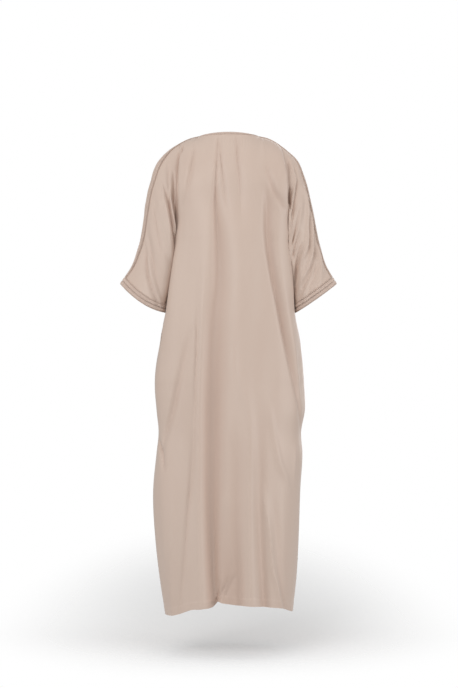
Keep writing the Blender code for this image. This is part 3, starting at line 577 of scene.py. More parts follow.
NECK_ROUNDNESS = 0.75  # the neck line's loss of depth towards its inner edge, against its loss of width
NECK_BEND = {BACK: 1.5, FRONT: 1.25}  # exponent of the neck line's rise or fall towards its middle
UNDERARM_BEND = 0.9  # exponent of the underarm seam's x
UNDERARM_FORWARD = 0.006  # how far that seam comes forward at the cuff
SLIT_TOP = 0.020  # height above the front neck line at which the slit starts to narrow

# Fine gathers below the neck braid, and the slight rise and fall of the whole cloth.
GATHER_PITCH, GATHER_HEIGHT = 0.0092, 0.00065
GATHER_START = {BACK: 0.0, FRONT: 0.07}  # drop at which they begin
GATHER_GROWS, GATHER_FADES = (-0.002, 0.010), (0.012, 0.055)  # where they grow and die away below that
GATHER_SPREAD = (0.045, 0.075)  # the x between which they die away
UNEVEN_WAVES, UNEVEN_RISE = 22, 0.0022  # how many waves there are, and the rise of each by its width
UNEVEN_WIDTHS, UNEVEN_LENGTHS = (0.045, 0.16), (0.28, 0.9)
UNEVEN_SEED = 11
STILL_REACH = 0.03  # cloth closer to a seam than this stays closer to its place
BODY_LOOSENS, SLEEVE_LOOSENS = (0.006, 0.06), (0.006, 0.04)  # the same below the shoulder and overarm seam

# ------------------------------------------------------------------ sizes of the fine surface
CLOTH_SHELL = 0.0008  # thickness of the cloth as it shows
SPLIT = 5  # fine rows and columns to one of the solid's
COLUMNS, NECK_COLUMNS = 16 * SPLIT, 9 * SPLIT
ROWS = 11 * SPLIT
BRAID_ROWS = SPLIT  # rows under the shoulder braid
SLIT_ROWS = 6 * SPLIT  # rows down to the lower end of the front slit's braid
SLEEVE_COLUMNS, BAND_COLUMNS = 100, 6
LOWER_ROWS, HEM_ROWS = 138, 12
HEM_ZONE = 0.030  # height of the closely spaced rows above the hem
HEM_DEPTH = 0.020  # height of the turned-up hem
HEM_STEP = 0.0005  # how much thicker it is
HEM_FADE = 0.003  # height over which that ends
FINE = 180  # points on a curve before it is spaced out evenly
JOIN = 0.00001  # points this close become one
JOIN_SHIFT = 0.37  # share of that by which places are shifted, to keep round ones off a boundary
NEAR_POINTS, NEAREST_POINTS = 24, 5  # points looked at, and used, to find the surface at a place
LAYER = 0.012  # points further behind the outermost than this are on cloth that lies behind it
FOLD_REACH = 3.2  # a fold is lost beyond this many of its half widths
DEEP = 0.013  # depth at which a fold counts as fully shaded

TAPE = (-0.0004, 0.0008)  # underside and face of the woven tape under a braid, above the cloth
NECK_TAPE = (-0.0015, 0.0003)  # the same where the braid binds an edge
TAPE_FINENESS = 40  # how many times finer its fibres are than a thread's
TAPE_SHADE = -0.8  # how deep its colour is: a shade below 0 is deeper
BRAID_LIFT = 0.0003  # how far the threads of the braids laid on the cloth stand above it
PLAIT_SIDES, CORD_SIDES = 6, 5  # sides of a thread of a plait, and of a cord
PLAIT_STEPS, CORD_STEPS, SCALLOP_STEPS = 14, 6, 8  # steps of a thread in each turn

STITCH_LENGTH, STITCH_GAP = 0.0028, 0.0013
STITCH_END = 0.6 * STITCH_LENGTH  # the row of stitches starts and stops this far from its line's ends
STITCH_LIFT = 0.0001  # how far it stands off the cloth
STITCH_AIM = 0.0005  # its direction is that of the line this far to both sides
STITCH_RINGS = (
    # its sections: place as a share of its length, half width, rise
    (-0.5, 0.00010, 0.00000),
    (0.0, 0.00022, 0.00022),
    (0.5, 0.00010, 0.00000),
)
HEM_STITCHING = 0.0185  # height of the row of stitches above the edge of the hem

CLOTH_COLOUR = (0.607, 0.479, 0.403)
# A deeper tone of the cloth: the random dye drift and the sewing thread's grain use it, and it is also the
# painted shade laid into the fold valleys
DYE_DRIFT_AND_FOLD_SHADE_COLOUR = (0.537, 0.395, 0.323)
BRAID_COLOUR = (0.625, 0.490, 0.415)
BRAID_SHADE = (0.510, 0.372, 0.303)
GLOSS = {
    "Sheen Roughness": 0.35,
    "Sheen Tint": (1.0, 0.95, 0.9, 1.0),
    "Specular IOR Level": 0.4,
    "Coat Weight": 0.12,
    "Coat Roughness": 0.34,
}
FIBRE_PITCH = 0.0011  # length of a turn of the fibres round a thread
SEAM_LINE = (0.0002, 0.0011)  # distances from a seam between which its shade fades


# ------------------------------------------------------------------ curves
def smooth_through(knots, values, at):
    """Values of a smooth curve through (knots, values); it is level beyond the ends."""
    knots = np.asarray(knots, float)
    values = np.asarray(values, float)
    slopes = np.gradient(values, knots)
    at = np.clip(np.asarray(at, float), knots[0], knots[-1])
    i = np.clip(np.searchsorted(knots, at) - 1, 0, len(knots) - 2)
    h = knots[i + 1] - knots[i]
    f = (at - knots[i]) / h
    start = (1 + 2 * f) * (1 - f) ** 2 * values[i] + f * (1 - f) ** 2 * h * slopes[i]
    end = f * f * (3 - 2 * f) * values[i + 1] - f * f * (1 - f) * h * slopes[i + 1]
    return start + end


def column(table, place, which=LEFT):
    """One column of a table. Of a pair of columns, place is that of the left or the back, and the right or
    the front has the next one."""
    return np.array([row[place if which > 0 else place + 1] for row in table], float)


def reading(table, at, place, which=LEFT, key=0):
    """A column of a table as a smooth curve over its key column, read at the given values."""
    return smooth_through(column(table, key), column(table, place, which), at)


def soft_step(value, low, high):
    """0 below low, 1 above high, and smooth between."""
    f = np.clip((np.asarray(value, float) - low) / (high - low), 0.0, 1.0)
    return f * f * (3 - 2 * f)


def lengths_along(points):
    """Distance along a polyline at each of its points."""
    steps = np.linalg.norm(np.diff(points, axis=0), axis=1)
    return np.concatenate([[0.0], np.cumsum(steps)])


def spaced(points, stations):
    """Points of a polyline at the given distances along it."""
    along = lengths_along(points)
    return np.stack([np.interp(stations, along, points[:, k]) for k in range(3)], axis=1)


def evenly(points, count):
    """A polyline's points, spaced evenly into count steps."""
    return spaced(points, np.linspace(0.0, lengths_along(points)[-1], count + 1))


def hermite(start, end, start_slope, end_slope, count=FINE):
    """A cubic curve between two points with the given slopes."""
    f = np.linspace(0.0, 1.0, count)[:, None]
    from_start = (1 + 2 * f) * (1 - f) ** 2 * start + f * (1 - f) ** 2 * start_slope
    to_end = f * f * (3 - 2 * f) * end - f * f * (1 - f) * end_slope
    return from_start + to_end


def unit(vectors):
    """The vectors at length 1."""
    return vectors / np.maximum(np.linalg.norm(vectors, axis=-1, keepdims=True), 1e-12)


# ------------------------------------------------------------------ the body's sections
def body_size(side, face, drop):
    """(half width, depth, press) of the body on one side and face at a drop below the shoulder."""
    width = reading(BODY, drop, 2, side, key=1)
    depth = reading(BODY, drop, 4, face, key=1)
    press = reading(BODY, drop, 6, key=1)
    return float(width), float(depth), float(press)


def section(side, face, drop, end_x, end_depth):
    """A quarter of the body's section, from its middle to (end_x, end_depth), as (x, y, z) points."""
    width, depth, _ = body_size(side, face, drop)
    end_turn = math.pi - math.asin(min(1.0, end_x / width))
    turn = np.linspace(0.0, end_turn, FINE)
    share = (np.cos(turn) - math.cos(end_turn)) / (1 - math.cos(end_turn))
    x = width * np.sin(turn)
    y = end_depth + (depth - end_depth) * np.clip(share, 0.0, 1.0) ** ROUNDNESS
    return np.stack([side * x, face * y, np.full_like(x, -drop)], axis=1)


def half_ring(side, drop):
    """Half of the body's section, from the middle of the back round one side to the middle of the front."""
    width, _, press = body_size(side, BACK, drop)
    back = section(side, BACK, drop, width - press, 0.0)
    front = section(side, FRONT, drop, width - press, 0.0)
    return np.concatenate([back, front[::-1][1:]])


def hem_lift(x, face):
    """How far the hem stands above its lowest point at x."""
    across, rise = np.array(HEM_RISE[face]).T
    return smooth_through(across, rise, x)


def lower_row(side, face, drop):
    """One row of a panel below the armpit, from its middle to the side seam."""
    ring = half_ring(side, drop)
    along = lengths_along(ring)
    crossing = np.interp(-reading(SEAM_SHIFT, drop, 1, side), -ring[:, 1], along)
    slit = (drop - SLIT_DROPS[0]) / (SLIT_DROPS[1] - SLIT_DROPS[0])
    gap = HAND_SLIT_GAP * math.sin(math.pi * slit) if 0.0 < slit < 1.0 else 0.0
    middle = 0.0 if face == BACK else along[-1]
    row = spaced(ring, np.linspace(middle, crossing - face * gap / 2, COLUMNS + 1))
    near_hem = ((drop - ARMPIT_DROP) / (HEM_DROP - ARMPIT_DROP)) ** 3
    row[:, 2] += near_hem * hem_lift(row[:, 0], face)
    return row


# ------------------------------------------------------------------ neck, shoulder and sleeve lines
def split_overarm(side):
    """The shoulder and overarm seam, from the neck braid to the corner of the cuff, cut where the sleeve
    begins: (shoulder part, sleeve part)."""
    x = column(OVERARM, 1, side)
    drop = column(OVERARM, 3)
    knots = np.concatenate([[0.0], np.cumsum(np.hypot(np.diff(x), np.diff(drop)))])
    at = np.linspace(0.0, knots[-1], 6 * FINE)
    along_x = smooth_through(knots, x, at)
    line = np.stack([side * along_x, np.zeros_like(at), -smooth_through(knots, drop, at)], axis=1)
    cut = int(np.argmin(np.abs(along_x - VALLEY_X[side])))
    return line[: cut + 1], line[cut:]


def neck_edge(side, face, inset):
    """A quarter of the neck line, from its middle to the shoulder. inset is 0 at the outer edge of the
    neck braid and 1 at its inner edge."""
    depth, rise = BACK_NECK if face == BACK else FRONT_NECK
    shrink = inset * BRAID_WIDTH
    turn = np.linspace(0.0, math.pi / 2, FINE)
    x = (NECK_HALF_WIDTH - shrink) * np.sin(turn)
    y = (depth - shrink * NECK_ROUNDNESS) * np.cos(turn)
    z = rise * np.clip(np.cos(turn), 0.0, 1.0) ** NECK_BEND[face]
    z += inset * BRAID_RISE * (0.35 + 0.65 * np.cos(turn) ** 2)
    return evenly(np.stack([side * x, face * y, z], axis=1), NECK_COLUMNS)


def slit_half_width(drop):
    """Half the opening of the front slit by its drop; it narrows downwards."""
    return SLIT_HALF_OPENING * (1 - soft_step(drop, -FRONT_NECK[1] - SLIT_TOP, SLIT_BOTTOM_DROP))


# ------------------------------------------------------------------ patches of the garment
def upper_columns(side, face):
    """Dense curves from the neck and shoulder line down to the armpit level, one for each column."""
    shoulder, _ = split_overarm(side)
    top = np.concatenate([neck_edge(side, face, 0.0), evenly(shoulder, COLUMNS - NECK_COLUMNS)[1:]])
    valley_depth = column(SLEEVE, 1, face)[0]
    middle = evenly(section(side, face, BLADE_DROP, VALLEY_X[side], valley_depth), COLUMNS)
    low = lower_row(side, face, ARMPIT_DROP)
    curves = []
    for j in range(COLUMNS):
        across = j / COLUMNS
        at_neck = max(0.0, 1 - j / NECK_COLUMNS)
        reach = LEAVING_PULL * (middle[j] - top[j])
        lean = SHOULDER_LEAN[face] + NECK_LEAN[face] * at_neck
        lean = SLEEVE_HEAD_LEAN + (lean - SLEEVE_HEAD_LEAN) * soft_step(at_neck, 0.0, 0.2)
        leave = reach * np.array([LEAVING_ACROSS, 1.0, lean])
        beside_neck = (j - NECK_COLUMNS) / (FLARE_COLUMNS * SPLIT)
        outward = np.array([side * NECK_FLARE * math.exp(-(beside_neck**2)), 0.0, 0.0])
        fall = low[j] - middle[j]
        pass_by = np.array([0.0, BLADE_SLOPE * fall[1] * (1 - across), fall[2]])
        steep = np.array([0.0, ARMPIT_SLOPE * fall[1], fall[2] * (1.0 - 0.2 * across)])
        arrive = pass_by * (ARRIVING_PULL * reach[2] / fall[2])
        first = hermite(top[j], middle[j], leave + outward, arrive)
        second = hermite(middle[j], low[j], pass_by, steep)
        curves.append(np.concatenate([first, second[1:]]))
    _, sleeve = split_overarm(side)
    curves.append(sleeve_ring(side, face, sleeve[0], underarm_point(side, 0.0), 0.0))
    return curves


def underarm_point(side, along):
    """A point of the underarm seam, from the armpit (0) to the cuff (1)."""
    x = VALLEY_X[side] + (CUFF_INNER_X[side] - VALLEY_X[side]) * along**UNDERARM_BEND
    drop = ARMPIT_DROP + (CUFF_INNER_DROP - ARMPIT_DROP) * along
    return np.array([side * x, -UNDERARM_FORWARD * along, -drop])


def sleeve_ring(side, face, over, under, along):
    """Half a section of the sleeve, from the overarm seam to the underarm seam on one face. The steps below
    grow and fade between shares of the sleeve's length."""
    back, front = (float(reading(SLEEVE, along, 1, each)) for each in (BACK, FRONT))
    lean = float(reading(SLEEVE, along, 3))
    turned = SEAM_TURN[side] * soft_step(along, 0.0, 0.25) * (1 - 0.85 * soft_step(along, 0.55, 1.0))
    turn = np.linspace(turned, face * math.pi, FINE)
    flat = lean + SEAM_LEAN[side] * soft_step(along, 0.0, 0.3) * (1 - soft_step(along, 0.6, 1.0))
    lean = np.where(turn > 0, flat, lean)
    squarer = np.where(np.cos(turn) < 0, FULLNESS[face] * soft_step(along, 0.05, 0.35), 0.0)
    swell = np.abs(np.sin(turn)) ** (1 - squarer)
    bulge = np.where(turn > 0, back, -front) * swell * (1 - lean * np.cos(turn))
    ring = (over + under) / 2 + (over - under) / 2 * np.cos(turn)[:, None]
    ring[:, 1] += bulge
    sag = np.where(turn > 0, CUFF_SAG[side], 0.5 * CUFF_SAG[side]) * soft_step(along, 0.5, 1.0)
    ring[:, 2] -= sag * np.sin(turn) ** 2
    return ring


def closer_first(count):
    """Shares from 0 to 1 in so many steps, which grow from about two thirds of an even step."""
    share = np.linspace(0.0, 1.0, count + 1)
    return 0.68 * share + 0.32 * share**2


def row_stations(length):
    """Distances of the rows along a column: the first few lie under the shoulder braid."""
    under_braid = np.linspace(0.0, BRAID_WIDTH, BRAID_ROWS + 1)
    return np.concatenate([under_braid, np.linspace(BRAID_WIDTH, length, ROWS - BRAID_ROWS + 1)[1:]])


def upper_patch(side, face):
    """Grid of rows and columns from the shoulder line to the armpit level, over the body."""
    grid = np.zeros((ROWS + 1, COLUMNS + 1, 3))
    for j, curve in enumerate(upper_columns(side, face)):
        grid[:, j] = spaced(curve, row_stations(lengths_along(curve)[-1]))
    if face == FRONT:
        for i in range(SLIT_ROWS):
            push_aside(grid[i], side, sum(slit_edges(i, -grid[i, 0, 2])))
    return grid


def slit_edges(row, drop):
    """(half the front slit's opening, width of the braid beside it) at a row. The opening closes first, and
    below it the two edges of braid narrow to a point."""
    opening = slit_half_width(drop) * math.sqrt(np.clip((SLIT_ROWS - row) / SPLIT - 1, 0.0, 1.0))
    braid = BRAID_WIDTH * (1 - np.clip(row / SPLIT - SLIT_ROWS / SPLIT + 1, 0.0, 1.0) ** 1.5)
    return opening, braid


def push_aside(points, side, edge):
    """Moves points away from the middle, so that the first lies at the edge."""
    x = np.abs(points[:, 0])
    points[:, 0] = side * (x + edge * np.clip(1 - x / SLIT_SPREAD, 0.0, 1.0))


def lower_drops():
    """Drops of the rows from the armpit level to the hem."""
    to_hem = np.linspace(ARMPIT_DROP, HEM_DROP - HEM_ZONE, LOWER_ROWS + 1)
    return np.concatenate([to_hem, np.linspace(HEM_DROP - HEM_ZONE, HEM_DROP, HEM_ROWS + 1)[1:]])


def sleeve_patch(side, face):
    """Grid of a sleeve half: rows around it as on the body, columns along it to the cuff."""
    _, over = split_overarm(side)
    stations = np.linspace(0.0, 1.0, 2 * SLEEVE_COLUMNS + 1)
    starts = spaced(over, stations * lengths_along(over)[-1])
    rings = []
    for along, start in zip(stations, starts):
        ring = sleeve_ring(side, face, start, underarm_point(side, along), along)
        rings.append(spaced(ring, row_stations(lengths_along(ring)[-1])))
    rings = np.stack(rings)
    grid = np.zeros((ROWS + 1, SLEEVE_COLUMNS + BAND_COLUMNS + 1, 3))
    for i in range(ROWS + 1):
        total = lengths_along(rings[:, i])[-1]
        to_band = (total - CUFF_BAND) * closer_first(SLEEVE_COLUMNS)
        band = np.linspace(total - CUFF_BAND, total, BAND_COLUMNS + 1)[1:]
        grid[i] = spaced(rings[:, i], np.concatenate([to_band, band]))
    return grid


def neck_patch(side, face, upper):
    """Grid of the neck braid, from its inner edge to the panel's neck edge."""
    inner = neck_edge(side, face, 1.0)
    if face == FRONT:
        push_aside(inner, side, slit_half_width(-inner[0, 2]))
    return np.stack([inner, upper[0, : NECK_COLUMNS + 1]])


def slit_patch(side, upper, neck):
    """Grid of the braid down one edge of the front slit: columns are the slit's edge and the cloth's."""
    outer = upper[: SLIT_ROWS + 1, 0].copy()
    inner = outer.copy()
    for i in range(SLIT_ROWS):
        inner[i, 0] = side * slit_edges(i, -outer[i, 2])[0]
    inner[0] = neck[0, 0]
    return np.stack([inner, outer], axis=1)


# ------------------------------------------------------------------ how the cloth hangs
def fold_height(points, line, left, right, height, sharpness):
    """Height of one fold at each point. Its line is given as points, with the half widths to each side and
    the height at each of them."""
    reach = FOLD_REACH * max(left.max(), right.max())
    near = np.all((points > line.min(axis=0) - reach) & (points < line.max(axis=0) + reach), axis=-1)
    found = np.zeros(points.shape[:-1])
    p = points[near]
    if not len(p):
        return found
    best = np.full(len(p), 1e9)
    away_left = np.zeros(len(p), bool)
    values = np.zeros((len(p), 3))
    for k in range(len(line) - 1):
        run = line[k + 1] - line[k]
        share = np.clip((p - line[k]) @ run / (run @ run), 0.0, 1.0)
        off = p - line[k] - share[:, None] * run
        distance = np.linalg.norm(off, axis=1)
        closer = distance < best
        best[closer] = distance[closer]
        away_left[closer] = off[closer, 0] > 0
        for n, table in enumerate((left, right, height)):
            values[closer, n] = (table[k] + (table[k + 1] - table[k]) * share)[closer]
    wide = np.where(away_left, values[:, 0], values[:, 1])
    found[near] = values[:, 2] * np.exp(-((best / wide) ** sharpness))
    return found


def smooth_table(stations, steps=6):
    """Rows of a table with a smooth curve through each column, several to each of its own."""
    table = np.array(stations, float)
    knots = np.arange(len(table))
    at = np.linspace(0, len(table) - 1, steps * (len(table) - 1) + 1)
    return np.stack([smooth_through(knots, table[:, k], at) for k in range(table.shape[1])], axis=1)


def on_surface(points, x, drop):
    """The outermost points of one face at the given places, seen square on."""
    found = []
    for a, b in zip(x, drop):
        away = (points[:, 0] - a) ** 2 + (points[:, 2] + b) ** 2
        near = np.argpartition(away, NEAR_POINTS)[:NEAR_POINTS]
        depth = np.abs(points[near, 1])
        near = near[depth > depth.max() - LAYER]
        nearest = near[np.argsort(away[near])[:NEAREST_POINTS]]
        weight = 1 / (away[nearest] + 1e-7)
        found.append((a, points[nearest, 1] @ weight / weight.sum(), -b))
    return np.array(found)


def folds_over(grids, face, folds, parts, gathered=False):
    """Heights of one table's folds over the patches of one face, by patch, with the gathers at the neck where
    they are asked for."""
    keys = [(part, side, face) for part in parts for side in (LEFT, RIGHT)]
    surface = np.concatenate([grids[key].reshape(-1, 3) for key in keys])
    total = np.zeros(len(surface))
    for sharpness, *stations in folds.values():
        drop, x, left, right, height = smooth_table(np.array(stations) / MM_PER_METRE).T
        total += fold_height(surface, on_surface(surface, x, drop), left, right, height, sharpness)
    if gathered:
        total += neck_gathers(surface, face)
    total *= soft_step(face * surface[:, 1], 0.0, STILL_REACH)
    found = {}
    start = 0
    for key in keys:
        count = grids[key][..., 0].size
        found[key] = total[start : start + count].reshape(grids[key].shape[:2])
        start += count
    return found


def neck_gathers(points, face):
    """Height of the fine gathers that fall from the neck braid."""
    x, drop = points[:, 0], -points[:, 2]
    below = drop - GATHER_START[face]
    sway = 0.0012 * np.sin(60 * drop)
    wave = np.sin(2 * math.pi * (x + sway) / GATHER_PITCH + 1.1 * np.sin(x * 95))
    fade = soft_step(below, *GATHER_GROWS) * (1 - soft_step(below, *GATHER_FADES))
    return GATHER_HEIGHT * wave * fade * (1 - soft_step(np.abs(x), *GATHER_SPREAD))


def sleeve_front_folds(grid, side):
    """Heights of the folds of a sleeve's front over its grid."""
    rows = lengths_along(grid[:, SLEEVE_COLUMNS // 2])
    rows /= rows[-1]
    columns = lengths_along(grid[ROWS // 2])
    columns /= columns[-1]
    total = np.zeros(grid.shape[:2])
    for sharpness, *stations in SLEEVE_FRONT_FOLDS[side]:
        along, around, wide, height = smooth_table(stations).T
        i = np.interp(around, rows, np.arange(len(rows)))
        j = np.interp(along, columns, np.arange(len(columns)))
        wide = wide / MM_PER_METRE
        height = height / MM_PER_METRE
        total += fold_height(grid, between(grid, i, j), wide, wide, height, sharpness)
    return total * soft_step(rows, 0.02, 0.12)[:, None] * (1 - soft_step(rows, 0.93, 1.0))[:, None]


def between(grid, i, j):
    """Points of a grid at fractional rows and columns."""
    i, j = np.broadcast_arrays(np.asarray(i, float), np.asarray(j, float))
    row = np.clip(np.floor(i).astype(int), 0, grid.shape[0] - 2)
    col = np.clip(np.floor(j).astype(int), 0, grid.shape[1] - 2)
    a = (i - row)[..., None]
    b = (j - col)[..., None]
    upper = grid[row, col] * (1 - b) + grid[row, col + 1] * b
    lower = grid[row + 1, col] * (1 - b) + grid[row + 1, col + 1] * b
    return upper * (1 - a) + lower * a


def armhole_tuck(points, line, side):
    """Height of the tuck along the line where the sleeve parts from the body."""
    share = np.linspace(0.0, 1.0, len(line))
    wide = reading(ARMHOLE_TUCK, share, 1)
    return fold_height(points, line, wide, wide, reading(ARMHOLE_TUCK, share, 2, side), CRISP)


def draw_armhole(points, side):
    """Draws the back sideways beside the armhole, where the sleeve pulls on it."""
    x = np.abs(points[..., 0])
    share = soft_step(x, *ARMHOLE_GROWS) * (1 - soft_step(x, *ARMHOLE_FADES))
    share = share * soft_step(points[..., 1], 0.0, STILL_REACH)
    points[..., 0] -= side * share * reading(ARMHOLE_DRAW, -points[..., 2], 1, side)


def unevenness(flat):
    """Slight rise and fall of hanging cloth, at places on the cut cloth: long in the direction it hangs."""
    draw = np.random.default_rng(UNEVEN_SEED)
    total = np.zeros(flat.shape[:-1])
    for _ in range(UNEVEN_WAVES):
        across = draw.uniform(*UNEVEN_WIDTHS)
        down = draw.uniform(*UNEVEN_LENGTHS)
        phase = draw.uniform(0.0, 2 * math.pi)
        tilt = draw.uniform(-1.0, 1.0)
        bend = 0.25 * np.sin(flat[..., 1] / down * 2.3 + 2 * phase)
        wave = np.sin(2 * math.pi * (flat[..., 0] / across + tilt * flat[..., 1] / down) + phase + bend)
        total += wave * UNEVEN_RISE * across
    return total


# ------------------------------------------------------------------ joining the patches
def all_patches():
    """Grids of all patches, by (part, side, face)."""
    grids = {}
    for side in (LEFT, RIGHT):
        for face in (BACK, FRONT):
            upper = upper_patch(side, face)
            lower = np.stack([lower_row(side, face, drop) for drop in lower_drops()])
            lower[0] = upper[-1]
            sleeve = sleeve_patch(side, face)
            sleeve[:, 0] = upper[:, -1]
            if face == BACK:
                for patch in (upper, lower, sleeve):
                    draw_armhole(patch, side)
            made = {"upper": upper, "lower": lower, "sleeve": sleeve, "neck": neck_patch(side, face, upper)}
            if face == FRONT:
                made["slit"] = slit_patch(side, upper, made["neck"])
            grids.update({(part, side, face): grid for part, grid in made.items()})
    return grids


def all_heights(grids):
    """Heights of all folds over the patches, by (part, side, face)."""
    heights = {}
    for face, folds in ((BACK, BACK_FOLDS), (FRONT, FRONT_FOLDS)):
        heights.update(folds_over(grids, face, folds, ("upper", "lower", "sleeve"), gathered=True))
    for key, added in folds_over(grids, BACK, SLEEVE_BACK_FOLDS, ("sleeve",)).items():
        heights[key] += added
    for side in (LEFT, RIGHT):
        heights[("sleeve", side, FRONT)] += sleeve_front_folds(grids[("sleeve", side, FRONT)], side)
        for face in (BACK, FRONT):
            line = grids[("upper", side, face)][:, -1]
            for key in (("upper", side, face), ("sleeve", side, face)):
                heights[key] += armhole_tuck(grids[key], line, side)
    return heights


class Garment:
    """All patches joined into one surface: points, normals, and for each point its place on the cut cloth,
    how deep it lies in a fold and its distances from the side seam and the hem."""

    def __init__(self):
        grids = all_patches()
        self.join(grids)
        self.normals = self.surface_normals()
        heights = self.averaged(all_heights(grids))
        # How deep each point lies in a fold; the cloth's material paints shade into the folds from it
        self.hollow = np.clip(-heights / DEEP, -1.0, 1.0)
        self.points += self.normals * heights[:, None]
        self.measure(grids)
        self.points += self.normals * (unevenness(self.flat) * self.free)[:, None]
        self.normals = self.surface_normals()

    def join(self, grids):
        """Gives points that lie on each other one number."""
        every = np.concatenate([grid.reshape(-1, 3) for grid in grids.values()])
        keys = np.floor(every / JOIN + JOIN_SHIFT).astype(int)
        _, first, number = np.unique(keys, axis=0, return_index=True, return_inverse=True)
        self.points = every[first]
        self.numbers = {}
        start = 0
        for key, grid in grids.items():
            count = grid.shape[0] * grid.shape[1]
            self.numbers[key] = number.ravel()[start : start + count].reshape(grid.shape[:2])
            start += count

    def averaged(self, values):
        """Values given by patch, as one for each point."""
        total = np.zeros(len(self.points))
        count = np.zeros(len(self.points))
        for key, value in values.items():
            np.add.at(total, self.numbers[key].ravel(), value.ravel())
            np.add.at(count, self.numbers[key].ravel(), 1)
        return total / np.maximum(count, 1)

    def cells(self, part, side, face, rows=None, columns=None):
        """The four corners of each cell of a patch, or of some of its rows and columns, facing out."""
        grid = self.numbers[(part, side, face)]
        top, low = rows or (0, grid.shape[0] - 1)
        near, far = columns or (0, grid.shape[1] - 1)
        corners = (
            grid[top:low, near:far],
            grid[top + 1 : low + 1, near:far],
            grid[top + 1 : low + 1, near + 1 : far + 1],
            grid[top:low, near + 1 : far + 1],
        )
        found = np.stack(corners, axis=-1).reshape(-1, 4)
        return found if side * face < 0 else found[:, ::-1]

    def surface_normals(self):
        """Outward normals at the points, from all the cells around each."""
        normals = np.zeros_like(self.points)
        for key in self.numbers:
            corners = self.cells(*key)
            p = self.points[corners]
            across = np.cross(p[:, 2] - p[:, 0], p[:, 3] - p[:, 1])
            for k in range(4):
                np.add.at(normals, corners[:, k], across)
        return unit(normals)

    def measure(self, grids):
        """Notes where each point lies on the cut cloth, its distances from the seam and the hem, and how free
        it is to rise and fall."""
        count = len(self.points)
        self.flat = np.zeros((count, 2))
        self.seam = np.full(count, 1.0)
        self.hem = np.full(count, 1.0)
        self.free = np.ones(count)
        for (part, side, face), grid in grids.items():
            if part in ("neck", "slit"):
                continue
            number = self.numbers[(part, side, face)]
            steps = [np.linalg.norm(np.diff(grid, axis=axis), axis=2) for axis in (0, 1)]
            down = np.pad(np.cumsum(steps[0], axis=0), ((1, 0), (0, 0)))
            across = np.pad(np.cumsum(steps[1], axis=1), ((0, 0), (1, 0)))
            if part == "upper":
                self.flat[number] = np.stack([side * across, -down], axis=-1)
                self.free[number] = soft_step(down, *BODY_LOOSENS)
            if part == "lower":
                start = self.flat[number[0], 1]
                self.flat[number] = np.stack([side * across, start - down], axis=-1)
                self.seam[number] = across[:, -1:] - across
                self.hem[number] = down[-1:] - down
            if part == "sleeve":
                start = self.flat[number[:, 0], 0]
                self.flat[number] = np.stack([start[:, None] + side * across, -down], axis=-1)
                under = down[-1:] - down
                self.seam[number] = under
                self.free[number] = soft_step(down, *SLEEVE_LOOSENS) * soft_step(under, 0.0, STILL_REACH)
        self.free *= soft_step(self.seam, 0.0, STILL_REACH)


# ------------------------------------------------------------------ meshes
def add_to_scene(name, data):
    """An object of the scene."""
    made = bpy.data.objects.new(name, data)
    bpy.context.scene.collection.objects.link(made)
    return made


def mesh_piece(name, points, faces, material, crease=40.0):
    """An object from points and faces; edges sharper than the crease, in degrees, stay sharp."""
    data = bpy.data.meshes.new(name)
    data.from_pydata(points.tolist(), [], faces)
    data.materials.append(material)
    data.shade_smooth()
    data.set_sharp_from_angle(angle=math.radians(crease))
    return add_to_scene(name, data)


def note_values(piece, name, values):
    """Keeps one number for each point of a piece, for its material to read."""
    attribute = piece.data.attributes.new(name, "FLOAT", "POINT")
    attribute.data.foreach_set("value", np.asarray(values, np.float32))


def note_places(piece, name, places):
    """Keeps the place of each corner of a piece on its flat cloth or along its thread."""
    layer = piece.data.uv_layers.new(name=name)
    layer.data.foreach_set("uv", np.asarray(places, np.float32).ravel())


def corner_points(piece):
    """The number of the point at each corner of a piece's faces."""
    found = np.zeros(len(piece.data.loops), np.int32)
    piece.data.loops.foreach_get("vertex_index", found)
    return found


def without_repeats(cells):
    """Faces from cells, as triangles where two corners are the same point."""
    faces = []
    for cell in cells.tolist():
        corners = [v for k, v in enumerate(cell) if v != cell[k - 1]]
        if len(corners) > 2:
            faces.append(corners)
    return faces


def open_edges(cells):
    """Edges that only one cell has, in its direction."""
    starts = cells.ravel()
    ends = np.roll(cells, -1, axis=1).ravel()
    real = starts != ends
    starts, ends = starts[real], ends[real]
    size = int(cells.max()) + 1
    lone = ~np.isin(starts * size + ends, ends * size + starts)
    return starts[lone], ends[lone]


def wall(garment, cells, low, high):
    """(used, points, faces) of a closed thin wall over the cells, from low to high along the normals; high
    may vary by point. used numbers the garment's points, and the wall has each of them twice."""
    used, inverse = np.unique(cells, return_inverse=True)
    local = inverse.reshape(-1, 4)
    count = len(used)
    place, normals = garment.points[used], garment.normals[used]
    high = np.broadcast_to(high, len(garment.points))[used][:, None]
    start, end = open_edges(local)
    rim = np.stack([start, start + count, end + count, end], axis=1)
    faces = without_repeats(np.concatenate([local, local[:, ::-1] + count, rim]))
    return used, np.concatenate([place + normals * high, place + normals * low]), faces


def shell(name, garment, cells, low, high, material):
    """A panel of cloth: a wall over the cells, with what its material reads from the garment."""
    used, points, faces = wall(garment, cells, low, high)
    piece = mesh_piece(name, points, faces, material)
    note_places(piece, "cloth", garment.flat[used][corner_points(piece) % len(used)])
    # hollow is the fold depth that the material turns into painted shade
    for label, values in (("hollow", garment.hollow), ("seam", garment.seam), ("hem", garment.hem)):
        note_values(piece, label, np.tile(values[used], 2))
    return piece


